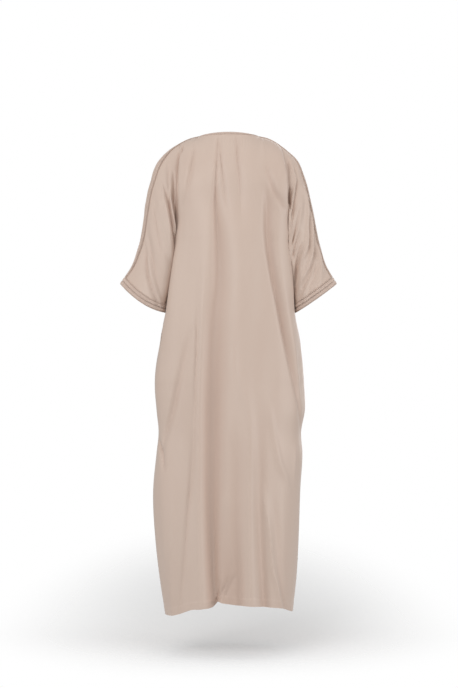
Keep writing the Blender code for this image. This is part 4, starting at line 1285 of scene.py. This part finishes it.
# ------------------------------------------------------------------ braid
class Band:
    """A strip of the garment's surface, read by its distance along and its place across, in metres."""

    def __init__(self, garment, numbers, width, lift, closed=False):
        self.points = garment.points[numbers]
        self.normals = garment.normals[numbers]
        self.width, self.lift, self.closed = width, lift, closed
        self.along = lengths_along(self.points[len(numbers) // 2])
        self.length = self.along[-1]

    def at(self, along, across, height):
        """(points, normals) at distances along the band and across it from its middle, raised by height."""
        if self.closed:
            along = np.mod(along, self.length)
        j = np.interp(along, self.along, np.arange(len(self.along)))
        i = (np.asarray(across) / self.width + 0.5) * (len(self.points) - 1)
        normals = unit(between(self.normals, i, j))
        return between(self.points, i, j) + normals * np.asarray(height + self.lift)[..., None], normals

    def stations(self, pitch, steps):
        """Distances along the band, so many steps to each pitch, and the turns made up to each."""
        turns = max(1, round(self.length / pitch))
        along = np.linspace(0.0, self.length, turns * steps + 1)
        if self.closed:
            along = along[:-1]
        return along, along / self.length * turns


def tube(path, normals, half_width, half_height, sides, closed):
    """(points, faces) of a thread with an oval section along a path; a closed path returns to its start."""
    run = np.roll(path, -1, axis=0) - np.roll(path, 1, axis=0)
    if not closed:
        run[0] = path[1] - path[0]
        run[-1] = path[-1] - path[-2]
    across = unit(np.cross(run, normals))
    upward = unit(np.cross(across, run))
    turn = (np.arange(sides) * 2 * math.pi / sides)[None, :, None]
    ring = np.cos(turn) * across[:, None] * half_width + np.sin(turn) * upward[:, None] * half_height
    points = (path[:, None] + ring).reshape(-1, 3)
    count = len(path)
    number = np.arange(count * sides).reshape(count, sides)
    following = np.roll(number, -1, axis=0) if closed else number[1:]
    first = number if closed else number[:-1]
    corners = (first, following, np.roll(following, -1, axis=1), np.roll(first, -1, axis=1))
    faces = np.stack(corners, axis=-1).reshape(-1, 4)
    caps = [] if closed else [number[0].tolist(), number[-1][::-1].tolist()]
    return points, faces.tolist() + caps


class Threads:
    """Threads and tapes gathered into one mesh, each with its place along and round it for the material."""

    def __init__(self):
        self.points, self.faces, self.places, self.shades = [], [], [], []
        self.count = 0

    def gather(self, points, faces, places, shade):
        """Adds a mesh, with the place of each of its points and one shade."""
        self.points.append(points)
        self.places.append(places)
        self.shades.append(np.full(len(points), shade))
        self.faces += [[v + self.count for v in face] for face in faces]
        self.count += len(points)

    def thread(self, path, normals, half_width, half_height, sides, closed, shade):
        """Adds a thread along a path."""
        points, faces = tube(path, normals, half_width, half_height, sides, closed)
        along = np.repeat(lengths_along(path), sides)
        around = np.tile(np.arange(sides) / sides, len(path))
        self.gather(points, faces, np.stack([along, around], axis=1), shade)

    def tape(self, garment, cells, thickness):
        """Adds the flat woven tape under the threads, over cells of the garment."""
        used, points, faces = wall(garment, cells, *thickness)
        self.gather(points, faces, np.tile(garment.flat[used] * TAPE_FINENESS, (2, 1)), TAPE_SHADE)

    def piece(self, name, material):
        """The object made of all that was added."""
        made = mesh_piece(name, np.concatenate(self.points), self.faces, material, crease=75.0)
        note_places(made, "thread", np.concatenate(self.places)[corner_points(made)])
        note_values(made, "shade", np.concatenate(self.shades))
        return made


def plait(threads, band, middle, width, pitch, thread, height):
    """Three flat threads plaited along a band: each swings across it and over and under the others. thread is
    the half width and half height of one."""
    along, turned = band.stations(pitch, PLAIT_STEPS)
    swing = width / 2 - thread[0]
    for k in range(3):
        turn = 2 * math.pi * (turned + k / 3)
        path, normals = band.at(along, middle + swing * np.sin(turn), height + thread[1] * np.sin(2 * turn))
        threads.thread(path, normals, *thread, PLAIT_SIDES, band.closed, shade=0.25 * (k - 1))


def twisted_cord(threads, band, middle, radius, pitch, height):
    """Two threads twisted round each other along a band."""
    along, turned = band.stations(pitch, CORD_STEPS)
    apart, thick = 0.62 * radius, 0.8 * radius
    for k in (0, 1):
        turn = 2 * math.pi * (turned + k / 2)
        path, normals = band.at(along, middle + apart * np.cos(turn), height + apart * np.sin(turn))
        threads.thread(path, normals, thick, thick, CORD_SIDES, band.closed, shade=0.3 * k)


def scallops(threads, band, edge, reach, pitch, radius, height):
    """A cord that loops along an edge of a band, out by reach and back."""
    along, turned = band.stations(pitch, SCALLOP_STEPS)
    swing = np.abs(np.sin(math.pi * turned))
    path, normals = band.at(along, edge + reach * swing, np.full_like(along, height))
    threads.thread(path, normals, radius, radius, CORD_SIDES, band.closed, shade=-0.2)


def shoulder_band(garment, side):
    """The strip of surface under a shoulder braid, from the neck braid to the cuff band."""
    rows = []
    for face, order in ((FRONT, range(BRAID_ROWS, 0, -1)), (BACK, range(BRAID_ROWS + 1))):
        for i in order:
            upper = garment.numbers[("upper", side, face)][i, NECK_COLUMNS:]
            sleeve = garment.numbers[("sleeve", side, face)][i, 1 : SLEEVE_COLUMNS + 1]
            rows.append(np.concatenate([upper, sleeve]))
    return Band(garment, np.array(rows), 2 * BRAID_WIDTH, BRAID_LIFT)


def cuff_band(garment, side):
    """The strip of surface under a cuff braid, closed round the sleeve."""
    back, front = (garment.numbers[("sleeve", side, face)][:, SLEEVE_COLUMNS:].T for face in (BACK, FRONT))
    numbers = np.concatenate([back, front[:, ::-1][:, 1:]], axis=1)
    return Band(garment, numbers, CUFF_BAND, BRAID_LIFT, closed=True)


def neck_band(garment):
    """The strip under the neck braid, from one side of the front slit round the neck to the other."""
    left_front, left_back = (garment.numbers[("neck", LEFT, face)] for face in (FRONT, BACK))
    right_front, right_back = (garment.numbers[("neck", RIGHT, face)] for face in (FRONT, BACK))
    strip = [left_front, left_back[:, ::-1][:, 1:], right_back[:, 1:], right_front[:, ::-1][:, 1:]]
    return Band(garment, np.concatenate(strip, axis=1), BRAID_WIDTH, 0.0)


def slit_band(garment, side, rows):
    """The strip under the braid on one edge of the front slit, down to a row."""
    numbers = garment.numbers[("slit", side, FRONT)].T
    return Band(garment, numbers[:, :rows], BRAID_WIDTH, 0.0)


# ------------------------------------------------------------------ stitches
def stitches(name, runs, material):
    """Small straight stitches, one after the other along each run of (points, normals)."""
    points = []
    for path, normals in runs:
        along = lengths_along(path)
        centres = np.arange(STITCH_END, along[-1] - STITCH_END, STITCH_LENGTH + STITCH_GAP)
        corners = []
        for shift, wide, rise in STITCH_RINGS:
            at = centres + shift * STITCH_LENGTH
            place = spaced(path, at)
            nearest = np.round(np.interp(at, along, np.arange(len(along)))).astype(int)
            normal = unit(normals[nearest])
            run = unit(spaced(path, at + STITCH_AIM) - spaced(path, at - STITCH_AIM))
            across = np.cross(run, normal)
            for a, b in ((wide, 0.0), (0.0, 1.3 * wide), (-wide, 0.0), (0.0, -wide)):
                corners.append(place + across * a + normal * (b + rise + STITCH_LIFT))
        points.append(np.stack(corners, axis=1))
    points = np.concatenate(points)
    number = np.arange(points.shape[0] * points.shape[1]).reshape(-1, len(STITCH_RINGS), 4)
    faces = []
    for ring, following in ((number[:, 0], number[:, 1]), (number[:, 1], number[:, 2])):
        sides = (ring, following, np.roll(following, -1, axis=1), np.roll(ring, -1, axis=1))
        faces.append(np.stack(sides, axis=-1).reshape(-1, 4))
    faces += [number[:, 0], number[:, -1, ::-1]]
    return mesh_piece(name, points.reshape(-1, 3), np.concatenate(faces).tolist(), material, crease=80.0)


def surface_line(garment, key, rows, columns):
    """(points, normals) of a line over a patch, at fractional rows and columns."""
    number = garment.numbers[key]
    normals = unit(between(garment.normals[number], rows, columns))
    return between(garment.points[number], rows, columns), normals


def hem_runs(garment, face):
    """The line of the hem's stitching on one panel."""
    row = LOWER_ROWS + HEM_ROWS * (1 - HEM_STITCHING / HEM_ZONE)
    left = surface_line(garment, ("lower", LEFT, face), row, np.arange(COLUMNS, -1, -1.0))
    right = surface_line(garment, ("lower", RIGHT, face), row, np.arange(1.0, COLUMNS + 1))
    return [(np.concatenate([left[0], right[0]]), np.concatenate([left[1], right[1]]))]


def slit_runs(garment, face):
    """The lines of stitching beside the hand slits on one panel."""
    drops = lower_drops()
    top, low = np.interp(SLIT_DROPS, drops, np.arange(len(drops)))
    rows = np.arange(top - 1.0, low + 1.0, 0.5)
    return [surface_line(garment, ("lower", side, face), rows, COLUMNS - 1.0) for side in (LEFT, RIGHT)]


# ------------------------------------------------------------------ finishes
def group(name, inputs, outputs):
    """A shader node group with named sockets: (tree, its input node, its output node)."""
    tree = bpy.data.node_groups.new(name, "ShaderNodeTree")
    kinds = {"value": "NodeSocketFloat", "vector": "NodeSocketVector", "colour": "NodeSocketColor"}
    for label, kind in inputs:
        tree.interface.new_socket(label, in_out="INPUT", socket_type=kinds[kind])
    for label, kind in outputs:
        tree.interface.new_socket(label, in_out="OUTPUT", socket_type=kinds[kind])
    return tree, tree.nodes.new("NodeGroupInput"), tree.nodes.new("NodeGroupOutput")


def connect(tree, start, start_socket, end, end_socket):
    """A link from one node to another."""
    tree.links.new(start.outputs[start_socket], end.inputs[end_socket])


def maths(tree, operation, *operands, clamped=False):
    """A maths node; each operand is a number or a (node, socket) pair."""
    node = tree.nodes.new("ShaderNodeMath")
    node.operation = operation
    node.use_clamp = clamped
    for k, operand in enumerate(operands):
        if isinstance(operand, tuple):
            connect(tree, *operand, node, k)
        else:
            node.inputs[k].default_value = operand
    return node, "Value"


def stretched(tree, place, across, down):
    """A place divided by two sizes, in metres."""
    node = tree.nodes.new("ShaderNodeVectorMath")
    node.operation = "MULTIPLY"
    connect(tree, *place, node, 0)
    node.inputs[1].default_value = (1 / across, 1 / down, 1.0)
    return node, "Vector"


def noise(tree, place, across, down, detail=2.0, roughness=0.5):
    """Uneven values over a place, with features of the given sizes in metres."""
    node = tree.nodes.new("ShaderNodeTexNoise")
    node.noise_dimensions = "2D"
    node.inputs["Scale"].default_value = 1.0
    node.inputs["Detail"].default_value = detail
    node.inputs["Roughness"].default_value = roughness
    connect(tree, *stretched(tree, place, across, down), node, "Vector")
    return node, "Fac"


def mixed(tree, amount, first, second):
    """A blend of two colours; each is a colour or a (node, socket) pair, and amount is a pair. The colour
    sockets of a mix node share their names with others, so they go by number."""
    node = tree.nodes.new("ShaderNodeMix")
    node.data_type = "RGBA"
    connect(tree, *amount, node, 0)
    for socket, colour in ((6, first), (7, second)):
        if isinstance(colour[0], bpy.types.Node):
            connect(tree, *colour, node, socket)
        else:
            node.inputs[socket].default_value = (*colour, 1.0)
    return node, 2


def crepe_grain():
    """The pebbled face of crepe with its slightly uneven warp threads. Place is in metres."""
    tree, given, made = group("crepe_grain", [("Place", "vector")], [("Height", "value")])
    place = (given, "Place")
    pebble = noise(tree, place, across=0.0011, down=0.0016, roughness=0.6)
    warp = noise(tree, place, across=0.0007, down=0.030, detail=1.0)
    slub = noise(tree, place, across=0.0035, down=0.12)
    both = maths(tree, "MULTIPLY_ADD", warp, 0.6, pebble)
    connect(tree, *maths(tree, "MULTIPLY_ADD", slub, 0.8, both), made, "Height")
    return tree


def tone_drift():
    """Slow drift of a dyed colour over the cloth. Place is in metres."""
    inputs = [("Place", "vector"), ("Colour", "colour"), ("Deeper", "colour"), ("Amount", "value")]
    tree, given, made = group("tone_drift", inputs, [("Colour", "colour")])
    place = (given, "Place")
    broad = noise(tree, place, across=0.11, down=0.34)
    thread = noise(tree, place, across=0.0016, down=0.045)
    both = maths(tree, "MULTIPLY_ADD", thread, 0.45, broad)
    spread = maths(tree, "SUBTRACT", both, 0.55)
    amount = maths(tree, "MULTIPLY", spread, (given, "Amount"), clamped=True)
    connect(tree, *mixed(tree, amount, (given, "Colour"), (given, "Deeper")), made, "Colour")
    return tree


def spun_thread():
    """Fine fibres laid round a thread. Place is the distance along it in metres and the turn round it."""
    tree, given, made = group("spun_thread", [("Place", "vector")], [("Height", "value"), ("Tone", "value")])
    parts = tree.nodes.new("ShaderNodeSeparateXYZ")
    connect(tree, given, "Place", parts, "Vector")
    along = maths(tree, "MULTIPLY", (parts, "X"), 2 * math.pi / FIBRE_PITCH)
    turned = maths(tree, "MULTIPLY_ADD", (parts, "Y"), 4 * math.pi, along)
    wave = maths(tree, "SINE", turned)
    connect(tree, *maths(tree, "MULTIPLY_ADD", wave, 0.5, 0.5), made, "Height")
    connect(tree, *noise(tree, (given, "Place"), across=0.006, down=0.5), made, "Tone")
    return tree


def placed(tree, maker, **links):
    """A node that uses a group, with its inputs linked or set by name."""
    node = tree.nodes.new("ShaderNodeGroup")
    node.node_tree = maker
    for label, value in links.items():
        if isinstance(value, tuple) and isinstance(value[0], bpy.types.Node):
            connect(tree, *value, node, label)
        else:
            node.inputs[label].default_value = (*value, 1.0) if isinstance(value, tuple) else value
    return node


def attribute(tree, name):
    """A number kept on the surface."""
    node = tree.nodes.new("ShaderNodeAttribute")
    node.attribute_name = name
    return node, "Fac"


def places_on(tree, name):
    """A place kept at the corners of the faces."""
    node = tree.nodes.new("ShaderNodeUVMap")
    node.uv_map = name
    return node, "UV"


def bump(tree, height, strength, distance, before=None):
    """A raised surface, over another one where it is given."""
    node = tree.nodes.new("ShaderNodeBump")
    node.inputs["Strength"].default_value = strength
    node.inputs["Distance"].default_value = distance
    connect(tree, *height, node, "Height")
    if before:
        connect(tree, *before, node, "Normal")
    return node, "Normal"


def fabric(name, roughness, sheen):
    """(material, tree, shader) for a woven finish: soft, with a faint gloss over it."""
    material = bpy.data.materials.new(name)
    material.use_nodes = True
    tree = material.node_tree
    shader = tree.nodes["Principled BSDF"]
    values = {"Roughness": roughness, "Sheen Weight": sheen, **GLOSS}
    for label, value in values.items():
        shader.inputs[label].default_value = value
    return material, tree, shader


def crepe_finish(groups):
    """Smooth stone-coloured crepe with a soft sheen and sewn seams, with painted shade deepening its colour
    in the folds.
    """
    material, tree, shader = fabric("crepe_cloth", roughness=0.52, sheen=0.22)
    place = places_on(tree, "cloth")
    grain = placed(tree, groups["grain"], Place=place)
    colours = {"Colour": CLOTH_COLOUR, "Deeper": DYE_DRIFT_AND_FOLD_SHADE_COLOUR}
    drift = placed(tree, groups["drift"], Place=place, Amount=0.55, **colours)
    # Painted shade: the colour turns deeper and warmer the deeper the cloth lies in a fold
    depth = maths(tree, "MULTIPLY", attribute(tree, "hollow"), 0.8, clamped=True)
    colour = mixed(tree, depth, (drift, "Colour"), DYE_DRIFT_AND_FOLD_SHADE_COLOUR)
    seam = tree.nodes.new("ShaderNodeMapRange")
    for label, distance in zip(("From Min", "From Max"), SEAM_LINE):
        seam.inputs[label].default_value = distance
    connect(tree, *attribute(tree, "seam"), seam, "Value")
    at_seam = maths(tree, "SUBTRACT", 1.0, (seam, "Result"))
    colour = mixed(tree, maths(tree, "MULTIPLY", at_seam, 0.55), colour, BRAID_SHADE)
    connect(tree, *colour, shader, "Base Color")
    pucker = bump(tree, (seam, "Result"), strength=0.8, distance=0.0007)
    raised = bump(tree, (grain, "Height"), strength=0.32, distance=0.00035, before=pucker)
    connect(tree, *raised, shader, "Normal")
    return material


def braid_finish(groups):
    """Plaited rayon, a little deeper and pinker than the cloth, with a dull sheen."""
    material, tree, shader = fabric("plaited_braid", roughness=0.46, sheen=0.25)
    spun = placed(tree, groups["spun"], Place=places_on(tree, "thread"))
    shade = maths(tree, "MULTIPLY_ADD", (spun, "Tone"), 0.5, -0.1)
    shade = maths(tree, "MULTIPLY_ADD", attribute(tree, "shade"), -0.6, shade, clamped=True)
    connect(tree, *mixed(tree, shade, BRAID_COLOUR, BRAID_SHADE), shader, "Base Color")
    connect(tree, *bump(tree, (spun, "Height"), strength=0.5, distance=0.00025), shader, "Normal")
    return material


def sewing_finish(groups):
    """Sewing thread in the colour of the cloth."""
    material, tree, shader = fabric("sewing_thread", roughness=0.5, sheen=0.1)
    grain = placed(tree, groups["grain"], Place=(tree.nodes.new("ShaderNodeTexCoord"), "Object"))
    connect(tree, *mixed(tree, (grain, "Height"), CLOTH_COLOUR, DYE_DRIFT_AND_FOLD_SHADE_COLOUR), shader, "Base Color")
    return material


# ------------------------------------------------------------------ the studio
FLOOR_DROP = 1.545
FLOOR_RADIUS = 6.0
# Grey of the floor inside its painted shadow pool; around the pool the floor fades to the studio's white
FLOOR_SHADOW_GREY = (0.84, 0.84, 0.84, 1.0)
# The pool is a painted shadow: the floor shows only in it, stretched out ahead of the robe like a cast shadow
SHADOW_POOL_Y = -0.5  # middle of the pool of floor that shows
SHADOW_POOL_BEHIND, SHADOW_POOL_AHEAD = 0.8, -0.2  # how fast it fades to the robe's back and front, against its sides
SHADOW_POOL_FADE = (0.12, 0.85)  # distances from its middle between which it fades

CAMERA_DISTANCE, CAMERA_DROP = 6.0, 0.62
PIXELS_PER_METRE_AT_ONE_METRE = 2000.0
IMAGE_HEIGHT = 688
SENSOR = 36.0

SOFTBOXES = (
    # name, place, the point it is turned to, size, watts
    ("key_softbox", (1.8, 4.6, 1.1), (0.0, 0.0, -0.6), (2.6, 2.6), 96.0),
    ("left_side", (4.2, 1.6, -0.2), (0.0, 0.0, -0.8), (2.4, 2.8), 40.0),
    ("right_side", (-4.2, 2.0, -0.3), (0.0, 0.0, -0.8), (2.2, 2.6), 77.0),
    ("overhead", (0.2, 0.4, 3.0), (0.0, 0.0, -0.6), (3.0, 3.0), 22.0),
    ("front_key", (-1.6, -4.8, 0.9), (0.0, 0.0, -0.6), (4.4, 4.0), 92.0),
)
ROOM_LIGHT = 0.46  # strength of the even light all round


def set_camera():
    """A long lens behind the robe, level with its seat."""
    data = bpy.data.cameras.new("camera")
    data.sensor_width = SENSOR
    data.lens = SENSOR * PIXELS_PER_METRE_AT_ONE_METRE / IMAGE_HEIGHT
    camera = add_to_scene("camera", data)
    camera.location = (0.0, CAMERA_DISTANCE, -CAMERA_DROP)
    camera.rotation_euler = (math.pi / 2, 0.0, math.pi)
    bpy.context.scene.camera = camera


def add_softbox(name, place, aim, size, power):
    """A rectangular area light turned towards a point."""
    data = bpy.data.lights.new(name, "AREA")
    data.shape = "RECTANGLE"
    data.size, data.size_y = size
    data.energy = power
    light = add_to_scene(name, data)
    light.location = place
    light.rotation_euler = (Vector(aim) - Vector(place)).to_track_quat("-Z", "Y").to_euler()


def set_world(strength):
    """Even white light; the camera sees it as plain white."""
    world = bpy.data.worlds.new("studio")
    world.use_nodes = True
    tree = world.node_tree
    background = tree.nodes["Background"]
    background.inputs["Color"].default_value = (1.0, 1.0, 1.0, 1.0)
    path = tree.nodes.new("ShaderNodeLightPath")
    seen = maths(tree, "MULTIPLY_ADD", (path, "Is Camera Ray"), 1.0 - strength, strength)
    connect(tree, *seen, background, "Strength")
    bpy.context.scene.world = world


def floor_finish():
    """Matt pale grey, shown only as a painted soft shadow pool that fades into the white of the studio; the
    lamps' real shadows fall on it too.
    """
    material = bpy.data.materials.new("floor_painted_shadow")
    material.use_nodes = True
    tree = material.node_tree
    shader = tree.nodes["Principled BSDF"]
    for label, value in (("Base Color", FLOOR_SHADOW_GREY), ("Roughness", 0.9), ("Specular IOR Level", 0.0)):
        shader.inputs[label].default_value = value
    split = tree.nodes.new("ShaderNodeSeparateXYZ")
    connect(tree, tree.nodes.new("ShaderNodeTexCoord"), "Object", split, "Vector")
    # Painted shadow: the floor's alpha keeps it only inside this pool, which stretches ahead of the robe and
    # fades to white
    from_middle = maths(tree, "ADD", (split, "Y"), -SHADOW_POOL_Y)
    behind, ahead = (maths(tree, "MULTIPLY", from_middle, rate) for rate in (SHADOW_POOL_BEHIND, SHADOW_POOL_AHEAD))
    along = maths(tree, "MAXIMUM", behind, ahead)
    across = maths(tree, "POWER", maths(tree, "ABSOLUTE", (split, "X")), 2.0)
    away = maths(tree, "SQRT", maths(tree, "MULTIPLY_ADD", along, along, across))
    fade = tree.nodes.new("ShaderNodeMapRange")
    fade.interpolation_type = "SMOOTHSTEP"
    for label, value in zip(("From Min", "From Max", "To Min", "To Max"), (*SHADOW_POOL_FADE, 1.0, 0.0)):
        fade.inputs[label].default_value = value
    connect(tree, *away, fade, "Value")
    connect(tree, fade, "Result", shader, "Alpha")
    return material


def add_floor():
    """A pale floor that shows only in a painted soft shadow pool under and around the robe, where the lamps'
    real shadows also fall.
    """
    data = bpy.data.meshes.new("floor")
    turn = np.linspace(0.0, 2 * math.pi, 97)[:-1]
    level = np.full_like(turn, -FLOOR_DROP)
    ring = np.stack([FLOOR_RADIUS * np.cos(turn), FLOOR_RADIUS * np.sin(turn), level], axis=1)
    data.from_pydata(ring.tolist(), [], [list(range(len(turn)))])
    data.materials.append(floor_finish())
    floor = add_to_scene("floor", data)


def light_studio():
    """Softboxes and even light round the robe."""
    for softbox in SOFTBOXES:
        add_softbox(*softbox)
    set_world(ROOM_LIGHT)
    bpy.context.scene.view_settings.view_transform = "Standard"


# ------------------------------------------------------------------ the robe
def build_panels(garment, cloth, thread):
    """Back and front panels of the robe, each with its half of both sleeves, its hem and its stitching."""
    hem_step = HEM_STEP * (1 - soft_step(garment.hem, HEM_DEPTH, HEM_DEPTH + HEM_FADE))
    parts = [(part, side) for part in ("upper", "lower", "sleeve") for side in (LEFT, RIGHT)]
    for face, name in ((BACK, "back"), (FRONT, "front")):
        cells = np.concatenate([garment.cells(part, side, face) for part, side in parts])
        panel = shell(f"{name}_cloth", garment, cells, -CLOTH_SHELL, hem_step, cloth)
        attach(panel, "root")
        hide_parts(f"{name}_panel")
        runs = hem_runs(garment, face) + slit_runs(garment, face)
        sewn = stitches(f"{name}_stitching", runs, thread)
        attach(sewn, "root")


def lay_braid(made, node):
    """A finished braid takes the place of its plain solid."""
    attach(made, "root")
    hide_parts(node)


def build_shoulder_braids(garment, material):
    """A plait with a twisted cord and a row of scallops at each edge, down each shoulder and overarm seam."""
    under_braid = (0, BRAID_ROWS)
    for side, name in ((LEFT, "left"), (RIGHT, "right")):
        threads = Threads()
        for face in (BACK, FRONT):
            over_body = garment.cells("upper", side, face, under_braid, (NECK_COLUMNS, COLUMNS))
            over_arm = garment.cells("sleeve", side, face, under_braid, (0, SLEEVE_COLUMNS))
            threads.tape(garment, over_body, TAPE)
            threads.tape(garment, over_arm, TAPE)
        band = shoulder_band(garment, side)
        plait(threads, band, 0.0, width=0.0086, pitch=0.0125, thread=(0.0019, 0.0007), height=0.0016)
        for edge in (-1, 1):
            twisted_cord(threads, band, edge * 0.0056, radius=0.0009, pitch=0.0046, height=0.0012)
            outer = edge * 0.0068
            scallops(threads, band, outer, edge * 0.0030, pitch=0.0098, radius=0.0007, height=0.0012)
        lay_braid(threads.piece(f"shoulder_plait_{name}", material), f"shoulder_braid_{name}")


def build_cuff_braids(garment, material):
    """Two plaits between three twisted cords, round each cuff."""
    columns = (SLEEVE_COLUMNS, SLEEVE_COLUMNS + BAND_COLUMNS)
    for side, name in ((LEFT, "left"), (RIGHT, "right")):
        threads = Threads()
        for face in (BACK, FRONT):
            threads.tape(garment, garment.cells("sleeve", side, face, None, columns), TAPE)
        band = cuff_band(garment, side)
        for middle in (-0.0052, 0.0062):
            plait(threads, band, middle, width=0.0094, pitch=0.0130, thread=(0.0021, 0.0008), height=0.0017)
        for middle, radius in ((-0.0120, 0.0009), (0.0005, 0.0006), (0.0120, 0.0008)):
            twisted_cord(threads, band, middle, radius, pitch=0.0048, height=0.0013)
        lay_braid(threads.piece(f"cuff_plait_{name}", material), f"cuff_braid_{name}")


def build_neck_braid(garment, material):
    """A narrow plait between two twisted cords, round the neck and down both edges of the front slit."""
    threads = Threads()
    for side in (LEFT, RIGHT):
        for face in (BACK, FRONT):
            threads.tape(garment, garment.cells("neck", side, face), NECK_TAPE)
        threads.tape(garment, garment.cells("slit", side, FRONT), NECK_TAPE)
    round_neck = neck_band(garment)
    for band in (round_neck, *(slit_band(garment, side, SLIT_ROWS) for side in (LEFT, RIGHT))):
        plait(threads, band, 0.0, width=0.0078, pitch=0.0110, thread=(0.0017, 0.0006), height=0.0010)
    for band in (round_neck, *(slit_band(garment, side, SLIT_ROWS + 1) for side in (LEFT, RIGHT))):
        for edge in (-1, 1):
            twisted_cord(threads, band, edge * 0.0043, radius=0.0006, pitch=0.0036, height=0.0007)
    lay_braid(threads.piece("neck_plait", material), "neck_braid")


def main():
    """The studio and the whole robe."""
    set_camera()
    light_studio()
    add_floor()
    groups = {"grain": crepe_grain(), "drift": tone_drift(), "spun": spun_thread()}
    garment = Garment()
    build_panels(garment, crepe_finish(groups), sewing_finish(groups))
    braid = braid_finish(groups)
    build_shoulder_braids(garment, braid)
    build_cuff_braids(garment, braid)
    build_neck_braid(garment, braid)


main()
